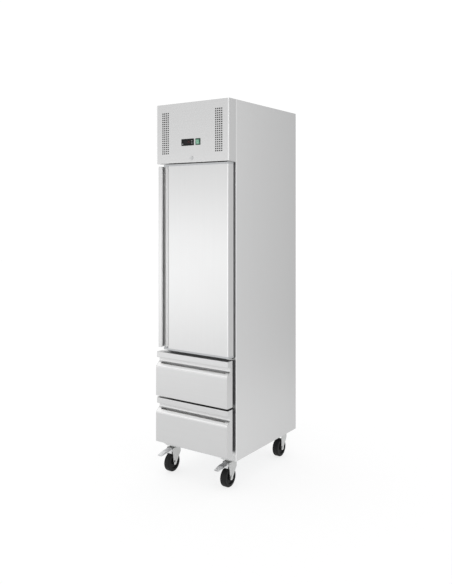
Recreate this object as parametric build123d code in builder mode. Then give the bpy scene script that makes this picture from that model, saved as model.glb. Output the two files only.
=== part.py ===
from build123d import *
from math import cos, radians
import os

# Slim upright refrigerator cabinet: one door above two drawers, a machine
# compartment behind the head cover, and four swivel casters.
# Millimetres. +X is the viewer's right, +Y the back, +Z up. The origin lies on
# the floor, under the middle of the overall footprint.

os.makedirs("parts", exist_ok=True)

# Overall cabinet
cabinet_width = 480.0
cabinet_height = 2010.0
case_depth = 641.0  # side panels, from the front jamb to the back
head_height = 321.0
head_depth = 64.0  # how far the head cover stands in front of the jamb
caster_height = 140.0
sheet = 1.0  # skins
deck_sheet = 2.0
side_wall = 46.0  # insulated walls, outer skin to inner liner
back_wall = 50.0
ceiling_wall = 49.0
floor_wall = 53.0

# Clearances
moving_gap = 0.3  # between pieces that move past each other
pin_gap = 0.05  # radial, pins and axles in their bores
fit_gap = 0.2  # around a body in its cut-out

# Door and drawers
front_inset = 5.0  # door and drawer sides behind the cabinet sides
head_to_door = 5.0
door_height = 1004.0
door_thickness = 48.0
door_to_drawer = 15.0
drawer_height = 239.2
drawer_spacing = 10.6
drawer_thickness = 50.0
drawer_proud = 10.7  # drawer fronts stand this far ahead of the head cover
cap_height = 10.0
cap_left = 40.0  # the caps stop short of the door's pull edge
cap_plate = 1.5  # thin end of a cap over the pull
corner_radius = 3.0
fold_radius = 2.0

# Recessed pull along the door's left edge and the drawers' top edge
pull_zone = 77.0
pull_depth = 30.0
pull_floor_end = 53.0
pull_set_back = 8.0
lip_wall = 9.0
pull_outer_wall = 9.0
door_lip = 25.0
drawer_lip = 32.0
lip_radius = 4.0
pull_corner_radius = 11.0
pull_slot_centre = 60.0
pull_slot_height = 9.0
pull_slot_depth = 15.0  # behind the floor of the pull
pull_slot_end_margin = 22.0
handle_joint = 78.0  # where the door's pull meets its front sheet

# Gaskets
gasket_side_inset = 14.0  # behind the sides of a door or drawer
gasket_end_inset = 6.0
gasket_width = 14.0
gasket_base_width = 18.0
door_gasket_base = 3.0
drawer_gasket_base = 10.0
seal_land = 2.0  # jamb left bare beyond a gasket

# Door hinge
hinge_from_side = 18.0
hinge_from_face = 40.0
hinge_pin_radius = 5.0
hinge_plate = 3.0
hinge_plate_width = 31.0
hinge_ahead = 13.0
hinge_flange = 38.0
lower_flange = 16.0
plug_rise = 6.0

# Head cover fittings
vent_width = 7.8
vent_height = 6.8
vent_columns = 4
vent_rows = 20
vent_column_pitch = 12.4
vent_row_pitch = 11.4
vent_from_side = 63.6
vent_above_head_bottom = 162.5
controller_x = -25.0
controls_above_head_bottom = 108.5
controller_width = 81.0
controller_tall = 36.0
controller_flange = 4.0
controller_body_width = 73.0
controller_body_tall = 30.0
controller_body_depth = 55.0
window_width = 42.0
window_tall = 18.0
window_depth = 1.0
key_width = 9.0
key_tall = 6.5
key_proud = 0.8
key_length = 4.3
key_pocket = 5.5
rocker_x = 43.0
rocker_flange_width = 32.0
rocker_flange_tall = 35.0
rocker_flange = 2.5
rocker_width = 21.0
rocker_tall = 24.0
rocker_wall = 2.5
rocker_body_depth = 24.0
rocker_pivot_depth = 4.0
rocker_front = 5.0
rocker_back = 6.0
rocker_tilt = 7.0
rocker_pin_radius = 1.5
lock_above_head_bottom = 24.0
lock_collar_radius = 11.0
lock_barrel_radius = 9.5
lock_core_radius = 7.0
lock_collar = 3.0
lock_barrel_depth = 28.0
cam_reach = 36.5
cam_width = 12.0
cam_thick = 3.0

# Inside
upright_width = 20.0
upright_depth = 4.0
shelf_levels = 3
shelf_pitch = 215.0
shelf_wire = 2.0
shelf_frame_wire = 4.0
shelf_wires = 15
evaporator_height = 150.0
evaporator_depth = 320.0
coil_height = 108.0

# Drawer boxes and runners
runner_wall = 1.6
runner_slack = 0.4
rail_height = 46.0
rail_width = 11.0
runner_length = 520.0
runner_setback = 6.0
runner_above_front_bottom = 80.0
box_above_front_bottom = 28.0
box_height = 152.0
box_sheet = 1.2
box_length = 560.0

# Casters
caster_from_side = 53.0
front_caster_setback = 45.0
rear_caster_setback = 65.0
wheel_radius = 50.0
wheel_width = 35.0
wheel_trail = 41.0
axle_radius = 6.0
hub_radius = 15.0
rim_radius = 34.0
wheel_dish = 5.0
plate_length = 88.0
plate_width = 85.0
plate_thick = 4.0
race_radius = 30.0
race_height = 5.0
king_pin_radius = 6.0
fork_sheet = 3.0
crown_thick = 4.0
fork_tip_radius = 12.0
fork_behind = 8.0
fork_shoulder = 28.0
pedal_reach = 149.0
pedal_width = 34.0
pedal_thick = 4.0
pedal_slope = 8.0  # degrees down to its tip
pedal_pin_radius = 3.0
pedal_pivot_ahead = 50.0
pedal_pivot_height = 116.0
shoe_bottom = 99.8

# Machine compartment
compressor_radius = 72.0
compressor_height = 190.0
condenser_width = 330.0
condenser_height = 250.0
condenser_thick = 44.0
fan_radius = 100.0
evaporator_fan_radius = 62.0
pipe_radius = 4.0
bend_radius = 12.0
bend_pitch = 50.0
pipe_bend = 11.5
pipe_hole_radius = 18.0

# Places worked out from the sizes above
half_width = cabinet_width / 2
overall_depth = case_depth + pedal_reach - front_caster_setback
back_y = overall_depth / 2
face_y = back_y - case_depth
head_y = face_y - head_depth
case_bottom = caster_height
head_bottom = cabinet_height - head_height
deck_bottom = head_bottom - sheet
deck_top = deck_bottom + deck_sheet
inner_x = half_width - side_wall
inner_back = back_y - back_wall
inner_floor = case_bottom + floor_wall
inner_ceiling = head_bottom - ceiling_wall

front_half = half_width - front_inset
front_width = 2 * front_half
door_top = head_bottom - head_to_door
door_bottom = door_top - door_height
door_y = head_y
drawer_y = head_y - drawer_proud
upper_drawer_top = door_bottom - door_to_drawer
upper_drawer_bottom = upper_drawer_top - drawer_height
lower_drawer_top = upper_drawer_bottom - drawer_spacing
lower_drawer_bottom = lower_drawer_top - drawer_height

seal_half = front_half - gasket_side_inset
seal_y = face_y - moving_gap
seal_depth = gasket_end_inset + gasket_width + seal_land
bar_depth = 50.0

hinge_x = half_width - hinge_from_side
hinge_y = door_y + hinge_from_face
controls_z = head_bottom + controls_above_head_bottom
lock_z = head_bottom + lock_above_head_bottom
cam_y = head_y + lock_barrel_depth + 1.0

caster_x = half_width - caster_from_side
front_caster_y = face_y + front_caster_setback
rear_caster_y = back_y - rear_caster_setback
plate_bottom = case_bottom - plate_thick
race_bottom = plate_bottom - race_height
crown_top = race_bottom - moving_gap
crown_bottom = crown_top - crown_thick
hub_half = wheel_width / 2 + 1.7
leg_inner = hub_half + moving_gap
leg_outer = leg_inner + fork_sheet
pedal_length = (pedal_reach - pedal_pivot_ahead) / cos(radians(pedal_slope))

rail_outer_half = rail_height / 2
slide_outer_half = rail_outer_half - runner_wall - runner_slack
bar_half = slide_outer_half - runner_wall - runner_slack
rail_inner_x = inner_x - rail_width
slide_x = inner_x - runner_wall - runner_slack
bar_x = slide_x - runner_wall - runner_slack
box_half = bar_x - rail_width + 1.0
runner_y = face_y + runner_setback

compressor_x = 92.0
condenser_y = face_y + 22.0
coil_y = inner_back - 200.0
coil_depth = 150.0
coil_half = 150.0
coil_bottom = inner_ceiling - coil_height - 14.0
cover_half = inner_x - 9.0
cover_front = inner_back - evaporator_depth
pipe_x = -inner_x + 22.0
pipe_y = back_y - 195.0
pipe_side = -half_width + 35.0
liquid_y = pipe_y - 10.0
suction_y = pipe_y + 10.0
compressor_y = suction_y
shell_bottom = deck_top + 14.0
stub_x = compressor_x - compressor_radius - 10.0
condenser_left = -condenser_width / 2
condenser_bottom = deck_top + 8.0
condenser_mid_y = condenser_y + condenser_thick / 2
suction_z = deck_top + 30.0
liquid_z = condenser_bottom + bend_pitch
discharge_z = condenser_bottom + 3 * bend_pitch


def save(part, name):
    """Label a finished piece and write its own file."""
    part.label = name
    export_step(part, f"parts/{name}.step")


def block(corner, opposite, mode=Mode.ADD):
    """Box between two opposite corners, given in any order."""
    with Locations((Vector(*corner) + Vector(*opposite)) * 0.5):
        Box(*(abs(b - a) for a, b in zip(corner, opposite)), mode=mode)


def rod(start, end, radius, mode=Mode.ADD):
    """Round bar from one point to another along an axis of the frame."""
    direction = Vector(*end) - Vector(*start)
    with Locations(Plane(origin=(Vector(*end) + Vector(*start)) * 0.5, z_dir=direction)):
        Cylinder(radius, direction.length, mode=mode)


# Cabinet shell


def side_panel(side):
    """Outer side with a return across the jamb and a narrow one at the back."""
    outer = side * half_width
    with BuildPart() as panel:
        block((outer - side * sheet, face_y, case_bottom), (outer, back_y, cabinet_height))
        jamb = (outer - side * (side_wall - sheet), face_y, case_bottom)
        block(jamb, (outer, face_y + sheet, cabinet_height))
        rear = (outer - side * 12, back_y - sheet, case_bottom)
        block(rear, (outer, back_y, cabinet_height))
        front_edges = panel.edges().filter_by(Axis.Z).group_by(Axis.Y)[0]
        fillet(front_edges.sort_by(Axis.X)[-1 if side > 0 else 0], radius=fold_radius)
    return panel.part


save(side_panel(-1), "side_panel_left")
save(side_panel(1), "side_panel_right")

rear_vent_columns = 2
rear_vent_rows = 9
rear_vent_length = 110.0
rear_vent_height = 6.0
rear_vent_pitch = 14.0
inlet_x = -165.0
inlet_z = deck_top + 68.0
inlet_width = 48.0
inlet_tall = 30.0

with BuildPart() as rear_panel:
    block((-half_width + 12, back_y - sheet, case_bottom + sheet),
          (half_width - 12, back_y, cabinet_height - sheet))
    with Locations((0, back_y, cabinet_height - 110)):
        with GridLocations(150, 1, rear_vent_columns, 1):
            for row in range(rear_vent_rows):
                with Locations((0, 0, (row - (rear_vent_rows - 1) / 2) * rear_vent_pitch)):
                    Box(rear_vent_length, 4 * sheet, rear_vent_height, mode=Mode.SUBTRACT)
    with Locations((inlet_x, back_y, inlet_z)):
        Box(inlet_width + 2 * fit_gap, 4 * sheet, inlet_tall + 2 * fit_gap, mode=Mode.SUBTRACT)
save(rear_panel.part, "rear_panel")

with BuildPart() as base_pan:
    block((-half_width + sheet, face_y + sheet, case_bottom),
          (half_width - sheet, back_y - sheet, case_bottom + sheet))
save(base_pan.part, "base_pan")

with BuildPart() as top_cover:
    block((-half_width + sheet, face_y + sheet, cabinet_height - sheet),
          (half_width - sheet, back_y - sheet, cabinet_height))
    for flange_y in (face_y + sheet, back_y - 2 * sheet):
        block((-half_width + side_wall, flange_y, cabinet_height - 20),
              (half_width - side_wall, flange_y + sheet, cabinet_height))
save(top_cover.part, "top_cover")

with BuildPart() as unit_deck:
    block((-half_width + sheet, face_y + sheet, deck_bottom),
          (half_width - sheet, back_y - sheet, deck_top))
    with Locations((pipe_x, pipe_y, deck_bottom)):
        Cylinder(pipe_hole_radius, 3 * deck_sheet, mode=Mode.SUBTRACT)
save(unit_deck.part, "unit_deck")

with BuildPart() as cabinet_insulation:
    block((-half_width + sheet, face_y + sheet, case_bottom + sheet),
          (half_width - sheet, back_y - sheet, deck_bottom))
    block((-inner_x - sheet, face_y, inner_floor - sheet),
          (inner_x + sheet, inner_back + sheet, inner_ceiling + sheet), Mode.SUBTRACT)
    with Locations((pipe_x, pipe_y, deck_bottom)):
        Cylinder(pipe_hole_radius, 4 * ceiling_wall, mode=Mode.SUBTRACT)
save(cabinet_insulation.part, "cabinet_insulation")

with BuildPart() as inner_liner:
    block((-inner_x - sheet, face_y, case_bottom + sheet),
          (inner_x + sheet, face_y + sheet, deck_bottom))
    block((-inner_x - sheet, face_y, inner_floor - sheet),
          (inner_x + sheet, inner_back + sheet, inner_ceiling + sheet))
    block((-inner_x, face_y - sheet, inner_floor),
          (inner_x, inner_back, inner_ceiling), Mode.SUBTRACT)
    with Locations((pipe_x, pipe_y, inner_ceiling)):
        Cylinder(pipe_hole_radius, 4 * sheet, mode=Mode.SUBTRACT)
save(inner_liner.part, "inner_liner")

with BuildPart() as mullions:
    block((-inner_x, face_y, upper_drawer_top - seal_depth),
          (inner_x, face_y + bar_depth, door_bottom + seal_depth))
    block((-inner_x, face_y, lower_drawer_top - seal_depth),
          (inner_x, face_y + bar_depth, upper_drawer_bottom + seal_depth))
save(mullions.part, "mullions")

# Head cover and its fittings

head_sheet = 1.2
rocker_hole_width = rocker_width + 2 * (moving_gap + rocker_wall) + 2 * fit_gap
rocker_hole_tall = rocker_tall + 2 * rocker_wall + 3.0 + 2 * fit_gap

with BuildPart() as head_panel:
    block((-half_width, head_y, head_bottom), (half_width, face_y, cabinet_height))
    front_edges = head_panel.edges().group_by(Axis.Y)[0]
    fillet(front_edges, radius=corner_radius)
    block((-half_width + head_sheet, head_y + head_sheet, head_bottom + head_sheet),
          (half_width - head_sheet, face_y, cabinet_height - head_sheet), Mode.SUBTRACT)
    with Locations(Plane(origin=(0, head_y, 0), x_dir=(1, 0, 0), z_dir=(0, -1, 0))):
        for vent_side in (-1, 1):
            with Locations((vent_side * (half_width - vent_from_side), head_bottom + vent_above_head_bottom)):
                with GridLocations(vent_column_pitch, vent_row_pitch, vent_columns, vent_rows):
                    Box(vent_width, vent_height, 4 * head_sheet, mode=Mode.SUBTRACT)
        with Locations((controller_x, controls_z)):
            Box(controller_body_width + 2 * fit_gap, controller_body_tall + 2 * fit_gap,
                4 * head_sheet, mode=Mode.SUBTRACT)
        with Locations((rocker_x, controls_z)):
            Box(rocker_hole_width, rocker_hole_tall, 4 * head_sheet, mode=Mode.SUBTRACT)
        with Locations((0, lock_z)):
            Cylinder(lock_barrel_radius + fit_gap, 4 * head_sheet, mode=Mode.SUBTRACT)
    block((-cam_width, cam_y - 3, head_bottom - 1),
          (cam_reach + 3, cam_y + cam_thick + 3, head_bottom + 2 * head_sheet), Mode.SUBTRACT)
    block((hinge_x - hinge_plate_width, face_y - 2 * hinge_plate, head_bottom - 1),
          (half_width - head_sheet, face_y, head_bottom + head_sheet), Mode.SUBTRACT)
save(head_panel.part, "head_panel")

key_places = {
    "key_set": (controller_x - 30.0, controls_z - 9.0),
    "key_up": (controller_x + 30.5, controls_z + 6.0),
    "key_down": (controller_x + 30.5, controls_z - 6.0),
}
controller_front = head_y - controller_flange
key_front = controller_front - key_proud

with BuildPart() as controller_case:
    block((controller_x - controller_width / 2, controller_front, controls_z - controller_tall / 2),
          (controller_x + controller_width / 2, head_y, controls_z + controller_tall / 2))
    fillet(controller_case.edges().filter_by(Axis.Y), radius=3)
    chamfer(controller_case.edges().group_by(Axis.Y)[0], length=1.2)
    block((controller_x - controller_body_width / 2, head_y, controls_z - controller_body_tall / 2),
          (controller_x + controller_body_width / 2, head_y + controller_body_depth,
          controls_z + controller_body_tall / 2))
    block((controller_x - window_width / 2, controller_front, controls_z - window_tall / 2),
          (controller_x + window_width / 2, controller_front + window_depth, controls_z + window_tall / 2),
          Mode.SUBTRACT)
    for key_x, key_z in key_places.values():
        with Locations((key_x, controller_front + key_pocket / 2, key_z)):
            Box(key_width + 2 * moving_gap, key_pocket, key_tall + 2 * moving_gap, mode=Mode.SUBTRACT)
save(controller_case.part, "controller_case")

for key_name, (key_x, key_z) in key_places.items():
    with BuildPart() as key:
        with Locations((key_x, key_front + key_length / 2, key_z)):
            Box(key_width, key_length, key_tall)
        fillet(key.edges().filter_by(Axis.Y), radius=1.5)
        fillet(key.edges().group_by(Axis.Y)[0], radius=0.6)
    save(key.part, key_name)

rocker_opening_width = rocker_width + 2 * moving_gap
rocker_opening_tall = rocker_tall + 3.0

with BuildPart() as rocker_bezel:
    block((rocker_x - rocker_flange_width / 2, head_y - rocker_flange, controls_z - rocker_flange_tall / 2),
          (rocker_x + rocker_flange_width / 2, head_y, controls_z + rocker_flange_tall / 2))
    fillet(rocker_bezel.edges().filter_by(Axis.Y), radius=2.5)
    chamfer(rocker_bezel.edges().group_by(Axis.Y)[0], length=1)
    with Locations((rocker_x, head_y + rocker_body_depth / 2, controls_z)):
        Box(rocker_hole_width - 2 * fit_gap, rocker_body_depth, rocker_hole_tall - 2 * fit_gap)
    block((rocker_x - rocker_opening_width / 2, head_y - rocker_flange, controls_z - rocker_opening_tall / 2),
          (rocker_x + rocker_opening_width / 2, head_y + rocker_body_depth - 4,
          controls_z + rocker_opening_tall / 2), Mode.SUBTRACT)
    rod((rocker_x - rocker_opening_width / 2 - 1.5, head_y + rocker_pivot_depth, controls_z),
        (rocker_x + rocker_opening_width / 2 + 1.5, head_y + rocker_pivot_depth, controls_z),
        rocker_pin_radius + pin_gap, Mode.SUBTRACT)
save(rocker_bezel.part, "rocker_bezel")

rocker_pivot = (rocker_x, head_y + rocker_pivot_depth, controls_z)
tilted = Plane(origin=rocker_pivot, x_dir=(1, 0, 0), z_dir=(0, 0, 1)).rotated((rocker_tilt, 0, 0))
with BuildPart(tilted) as rocker:
    with Locations((0, (rocker_back - rocker_front) / 2 - rocker_pivot_depth, 0)):
        Box(rocker_width, rocker_front + rocker_back, rocker_tall)
    fillet(rocker.edges().filter_by(Axis.X), radius=1.5)
    with Locations(Plane(origin=(0, 0, 0), z_dir=(1, 0, 0))):
        Cylinder(rocker_pin_radius, rocker_opening_width + 2.4)
save(rocker.part, "rocker")

with BuildPart() as lock_housing:
    rod((0, head_y - lock_collar, lock_z), (0, head_y, lock_z), lock_collar_radius)
    chamfer(lock_housing.edges().group_by(Axis.Y)[0], length=1.2)
    rod((0, head_y, lock_z), (0, head_y + lock_barrel_depth, lock_z), lock_barrel_radius)
    rod((0, head_y - lock_collar, lock_z), (0, head_y + lock_barrel_depth, lock_z),
        lock_core_radius + pin_gap, Mode.SUBTRACT)
save(lock_housing.part, "lock_housing")

with BuildPart() as lock_cylinder:
    rod((0, head_y - lock_collar - 0.5, lock_z), (0, cam_y, lock_z), lock_core_radius)
    block((-cam_width / 2, cam_y, lock_z - cam_width / 2),
          (cam_reach, cam_y + cam_thick, lock_z + cam_width / 2))
    fillet(lock_cylinder.edges().filter_by(Axis.Y).group_by(Axis.X)[-1], radius=4)
    rod((0, cam_y + cam_thick, lock_z), (0, cam_y + cam_thick + 4, lock_z), 5)
    block((-0.8, head_y - lock_collar - 1, lock_z - 3.5),
          (0.8, head_y - lock_collar + 5, lock_z + 3.5), Mode.SUBTRACT)
save(lock_cylinder.part, "lock_cylinder")

# Machine compartment


def finned_block(low, high, pitch, fin_cut):
    """Coil block with fin slits on both faces and return bends at its ends."""
    width = high[0] - low[0]
    tall = high[2] - low[2]
    middle = (Vector(*low) + Vector(*high)) * 0.5
    with BuildPart() as coil:
        block(low, high)
        for face in (low[1], high[1]):
            with Locations((middle.X, face, middle.Z)):
                with GridLocations(pitch, 1, int((width - bend_pitch) / pitch), 1):
                    Box(pitch * 0.6, 2 * fin_cut, tall - 8, mode=Mode.SUBTRACT)
        for end in (low[0], high[0]):
            for turn in range(int(tall / bend_pitch)):
                centre = (end, middle.Y, low[2] + bend_pitch * (turn + 0.5))
                with Locations(Plane(origin=centre, z_dir=(0, 1, 0))):
                    Torus(bend_radius, pipe_radius)
    return coil.part


def fan(centre, radius, bore_radius, depth):
    """Five-bladed fan on a hub, turning about a front-to-back axis."""
    hub_radius = radius * 0.3
    blade_length = radius - hub_radius + 4
    with BuildPart(Plane(origin=centre, x_dir=(1, 0, 0), z_dir=(0, -1, 0))) as blades:
        Cylinder(hub_radius, depth)
        with PolarLocations(hub_radius - 4 + blade_length / 2, 5):
            Box(blade_length, radius * 0.62, 2, rotation=(24, 0, 0))
        Cylinder(radius, 2 * depth, mode=Mode.INTERSECT)
        with Locations((0, 0, -depth / 2 + (depth - 6) / 2)):
            Cylinder(bore_radius, depth - 6, mode=Mode.SUBTRACT)
    return blades.part


with BuildPart() as compressor:
    with BuildSketch(Plane.XZ.offset(-compressor_y)) as shell_outline:
        with Locations((compressor_x + compressor_radius / 2, shell_bottom + compressor_height / 2)):
            Rectangle(compressor_radius, compressor_height)
        fillet(shell_outline.vertices().group_by(Axis.X)[-1], radius=40)
    revolve(axis=Axis((compressor_x, compressor_y, 0), (0, 0, 1)))
    with Locations((compressor_x, compressor_y, shell_bottom - 2)):
        Box(2 * compressor_radius + 10, 2 * compressor_radius, 4)
    with Locations((compressor_x, compressor_y, deck_top + 5)):
        with GridLocations(2 * compressor_radius - 14, 2 * compressor_radius - 24, 2, 2):
            Cylinder(9, 10)
    block((compressor_x + 30, compressor_y - compressor_radius - 26, deck_top + 60),
          (compressor_x + 86, compressor_y - 20, deck_top + 130))
    for stub_z in (suction_z, discharge_z):
        rod((stub_x, compressor_y, stub_z), (compressor_x, compressor_y, stub_z), pipe_radius + 1)
save(compressor.part, "compressor")

save(finned_block((condenser_left, condenser_y, condenser_bottom),
                  (-condenser_left, condenser_y + condenser_thick, condenser_bottom + condenser_height),
                  8.0, 14.0), "condenser")

shroud_front = condenser_y + condenser_thick
shroud_depth = 46.0
shroud_half = fan_radius + 26
fan_z = condenser_bottom + condenser_height / 2
motor_front = shroud_front + shroud_depth + 4
with BuildPart() as fan_shroud:
    block((-shroud_half, shroud_front, fan_z - condenser_height / 2),
          (shroud_half, shroud_front + 2, fan_z + condenser_height / 2))
    rod((0, shroud_front, fan_z), (0, shroud_front + shroud_depth, fan_z), fan_radius + 8)
    rod((0, shroud_front - 1, fan_z), (0, shroud_front + shroud_depth + 1, fan_z), fan_radius + 5,
        Mode.SUBTRACT)
    for arm_y in (-1, 1):
        block((-6, shroud_front + shroud_depth - 3, fan_z + arm_y * (fan_radius + 8)),
              (6, motor_front + 6, fan_z + arm_y * 20))
    rod((0, motor_front, fan_z), (0, motor_front + 50, fan_z), 32)
    rod((0, motor_front - 30, fan_z), (0, motor_front, fan_z), 4)
save(fan_shroud.part, "fan_shroud")
save(fan((0, shroud_front + shroud_depth - 20, fan_z), fan_radius, 4 + pin_gap, 26), "condenser_fan")

with BuildPart() as electrical_box:
    block((-half_width + 22, back_y - 150, deck_top), (-half_width + 122, back_y - 24, deck_top + 110))
    fillet(electrical_box.edges().filter_by(Axis.Z), radius=6)
    rod((-half_width + 60, back_y - 158, deck_top + 60), (-half_width + 60, back_y - 150, deck_top + 60), 10)
save(electrical_box.part, "electrical_box")

with BuildPart() as power_inlet:
    block((inlet_x - inlet_width / 2, back_y - 20, inlet_z - inlet_tall / 2),
          (inlet_x + inlet_width / 2, back_y - 0.5, inlet_z + inlet_tall / 2))
    fillet(power_inlet.edges().filter_by(Axis.Y), radius=3)
    block((inlet_x - 12, back_y - 16, inlet_z - 8), (inlet_x + 12, back_y, inlet_z + 8), Mode.SUBTRACT)
    for pin_x, pin_z in ((-7, -2), (0, 2), (7, -2)):
        block((inlet_x + pin_x - 1, back_y - 17, inlet_z + pin_z - 2),
              (inlet_x + pin_x + 1, back_y - 4, inlet_z + pin_z + 2))
save(power_inlet.part, "power_inlet")


def pipe(points, radius):
    """Round pipe along straight runs joined by equal bends."""
    with BuildPart() as tube:
        with BuildLine() as route:
            FilletPolyline(*points, radius=pipe_bend)
        with BuildSketch(Plane(origin=points[0], z_dir=route.line % 0)):
            Circle(radius)
        sweep()
    return tube.part


drier_start = condenser_y + 150
drier_end = drier_start + 110
with BuildPart() as refrigerant_pipes:
    add(pipe([(stub_x, compressor_y, discharge_z), (pipe_side, compressor_y, discharge_z),
              (pipe_side, condenser_mid_y, discharge_z), (condenser_left, condenser_mid_y, discharge_z)],
             pipe_radius))
    add(pipe([(condenser_left, condenser_mid_y, liquid_z), (pipe_side, condenser_mid_y, liquid_z),
              (pipe_side, drier_start, liquid_z)], pipe_radius - 1))
    rod((pipe_side, drier_start, liquid_z), (pipe_side, drier_end, liquid_z), 10)
    add(pipe([(pipe_side, drier_end, liquid_z), (pipe_side, liquid_y, liquid_z),
              (pipe_x, liquid_y, liquid_z), (pipe_x, liquid_y, coil_bottom + 60),
              (-coil_half, liquid_y, coil_bottom + 60)], pipe_radius - 1))
    add(pipe([(-coil_half, suction_y, coil_bottom + 30), (pipe_x, suction_y, coil_bottom + 30),
              (pipe_x, suction_y, suction_z), (stub_x, suction_y, suction_z)], pipe_radius))
save(refrigerant_pipes.part, "refrigerant_pipes")

# Evaporator and light under the ceiling

cover_wall = 1.2
cover_bottom = inner_ceiling - evaporator_height
evaporator_fan_z = inner_ceiling - evaporator_height / 2
evaporator_fan_y = cover_front + 22
with BuildPart() as evaporator_cover:
    block((-cover_half, cover_front, cover_bottom), (cover_half, inner_back, inner_ceiling))
    block((-cover_half + cover_wall, cover_front + cover_wall, cover_bottom + cover_wall),
          (cover_half - cover_wall, inner_back, inner_ceiling), Mode.SUBTRACT)
    rod((0, cover_front - 1, evaporator_fan_z), (0, cover_front + 4, evaporator_fan_z),
        evaporator_fan_radius + 4, Mode.SUBTRACT)
    for slot in range(6):
        slot_y = inner_back - 30 - slot * 14
        block((-120, slot_y - 3, cover_bottom - 1), (120, slot_y + 3, cover_bottom + 2), Mode.SUBTRACT)
    block((-cover_half, evaporator_fan_y + 26, evaporator_fan_z - 12),
          (cover_half, evaporator_fan_y + 29, evaporator_fan_z + 12))
    rod((0, evaporator_fan_y + 18, evaporator_fan_z), (0, evaporator_fan_y + 58, evaporator_fan_z), 24)
    rod((0, evaporator_fan_y - 3, evaporator_fan_z), (0, evaporator_fan_y + 20, evaporator_fan_z), 3)
save(evaporator_cover.part, "evaporator_cover")
save(fan((0, evaporator_fan_y, evaporator_fan_z), evaporator_fan_radius, 3 + pin_gap, 20),
     "evaporator_fan")
save(finned_block((-coil_half, coil_y, coil_bottom), (coil_half, coil_y + coil_depth, coil_bottom + coil_height),
                  10.0, 50.0), "evaporator_coil")

with BuildPart() as led_lamp:
    block((-150, face_y + 28, inner_ceiling - 11), (150, face_y + 50, inner_ceiling))
    fillet(led_lamp.edges().filter_by(Axis.X).group_by(Axis.Z)[0], radius=4)
save(led_lamp.part, "led_lamp")

# Shelves

shelf_front = face_y + bar_depth + 6
shelf_back = inner_back - 40
upright_low = door_bottom + seal_depth + 14
upright_high = cover_bottom - 20
first_shelf = upright_low + 80
shelf_side = inner_x - upright_depth - 6
slot_pitch = 50.0
slot_count = int((upright_high - upright_low - 40) / slot_pitch)
upright_rows = (shelf_front + 40, shelf_back - 40)
shelf_heights = [first_shelf + level * shelf_pitch for level in range(shelf_levels)]

with BuildPart() as shelf_supports:
    for side in (-1, 1):
        for row_y in upright_rows:
            block((side * (inner_x - upright_depth), row_y - upright_width / 2, upright_low),
                  (side * inner_x, row_y + upright_width / 2, upright_high))
            slot_x = side * (inner_x - upright_depth)
            with Locations((slot_x, row_y, (upright_low + upright_high) / 2)):
                for slot in range(slot_count):
                    with Locations((0, 0, (slot - (slot_count - 1) / 2) * slot_pitch)):
                        Box(upright_depth, 8, 12, mode=Mode.SUBTRACT)
    for side in (-1, 1):
        for row_y in upright_rows:
            for height in shelf_heights:
                clip_top = height - shelf_frame_wire
                block((side * (inner_x - upright_depth), row_y - 12, clip_top - 14),
                      (side * (inner_x - upright_depth - 2), row_y + 12, clip_top))
                block((side * (inner_x - upright_depth - 2), row_y - 12, clip_top - 3),
                      (side * (inner_x - upright_depth - 18), row_y + 12, clip_top))
save(shelf_supports.part, "shelf_supports")

with BuildPart() as wire_shelves:
    for height in shelf_heights:
        for bar_y in (shelf_front + shelf_frame_wire, shelf_back - shelf_frame_wire):
            rod((-shelf_side, bar_y, height), (shelf_side, bar_y, height), shelf_frame_wire)
        for bar_x_side in (-1, 1):
            end_x = bar_x_side * (shelf_side - shelf_frame_wire)
            rod((end_x, shelf_front, height), (end_x, shelf_back, height), shelf_frame_wire)
        wire_pitch = 2 * (shelf_side - 2 * shelf_frame_wire) / (shelf_wires + 1)
        for wire in range(shelf_wires):
            wire_x = (wire - (shelf_wires - 1) / 2) * wire_pitch
            rod((wire_x, shelf_front + 2, height + 3), (wire_x, shelf_back - 2, height + 3), shelf_wire)
save(wire_shelves.part, "wire_shelves")

# Recessed pull section, shared by the door and the drawers.
# Local x runs from the pull edge across the front, local y from front to back.


def pull_section(plane, length, thickness, lip, inset):
    """Section of a front with its pull, drawn inside the outline by inset."""
    with BuildSketch(plane) as section:
        with BuildLine():
            Polyline(
                (0, thickness), (0, pull_set_back), (lip, pull_set_back),
                (lip, pull_set_back + lip_wall), (pull_outer_wall, pull_set_back + lip_wall),
                (pull_outer_wall, pull_depth), (pull_floor_end, pull_depth), (pull_zone, 0),
                (length, 0), (length, thickness), close=True)
        make_face()
        round_near(section, ((0, pull_set_back), (lip, pull_set_back), (lip, pull_set_back + lip_wall),
                             (pull_outer_wall, pull_set_back + lip_wall), (pull_outer_wall, pull_depth)),
                   lip_radius)
        round_near(section, ((pull_floor_end, pull_depth), (pull_zone, 0)), pull_corner_radius)
        round_near(section, ((length, 0),), corner_radius)
        if inset:
            offset(amount=-inset, kind=Kind.INTERSECTION)
    return section.sketch


def round_near(section, points, radius):
    """Round the section's corners that lie at the given points."""
    for x, y in points:
        corner = section.vertices().sort_by_distance((x, y, 0))[0]
        fillet(corner, radius=radius)


# Door

door_left = -front_half
door_sections_low = door_bottom + cap_height
door_sections_high = door_top - cap_height


def door_plane(height):
    """Plane of a door section, its local origin on the pull edge."""
    return Plane(origin=(door_left, door_y, height), x_dir=(1, 0, 0), z_dir=(0, 0, 1))


section_height = door_sections_high - door_sections_low
door_outer = pull_section(door_plane(door_sections_low), front_width, door_thickness, door_lip, 0)
door_inner = pull_section(door_plane(door_sections_low), front_width, door_thickness, door_lip, sheet)
seam_x = door_left + handle_joint
door_back_y = door_y + door_thickness

with BuildPart() as door_shell:
    extrude(door_outer, amount=section_height)
    extrude(door_inner, amount=section_height, mode=Mode.SUBTRACT)
    block((door_left + sheet, door_back_y - sheet, door_sections_low),
          (front_half - sheet, door_back_y, door_sections_high), Mode.SUBTRACT)

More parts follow.
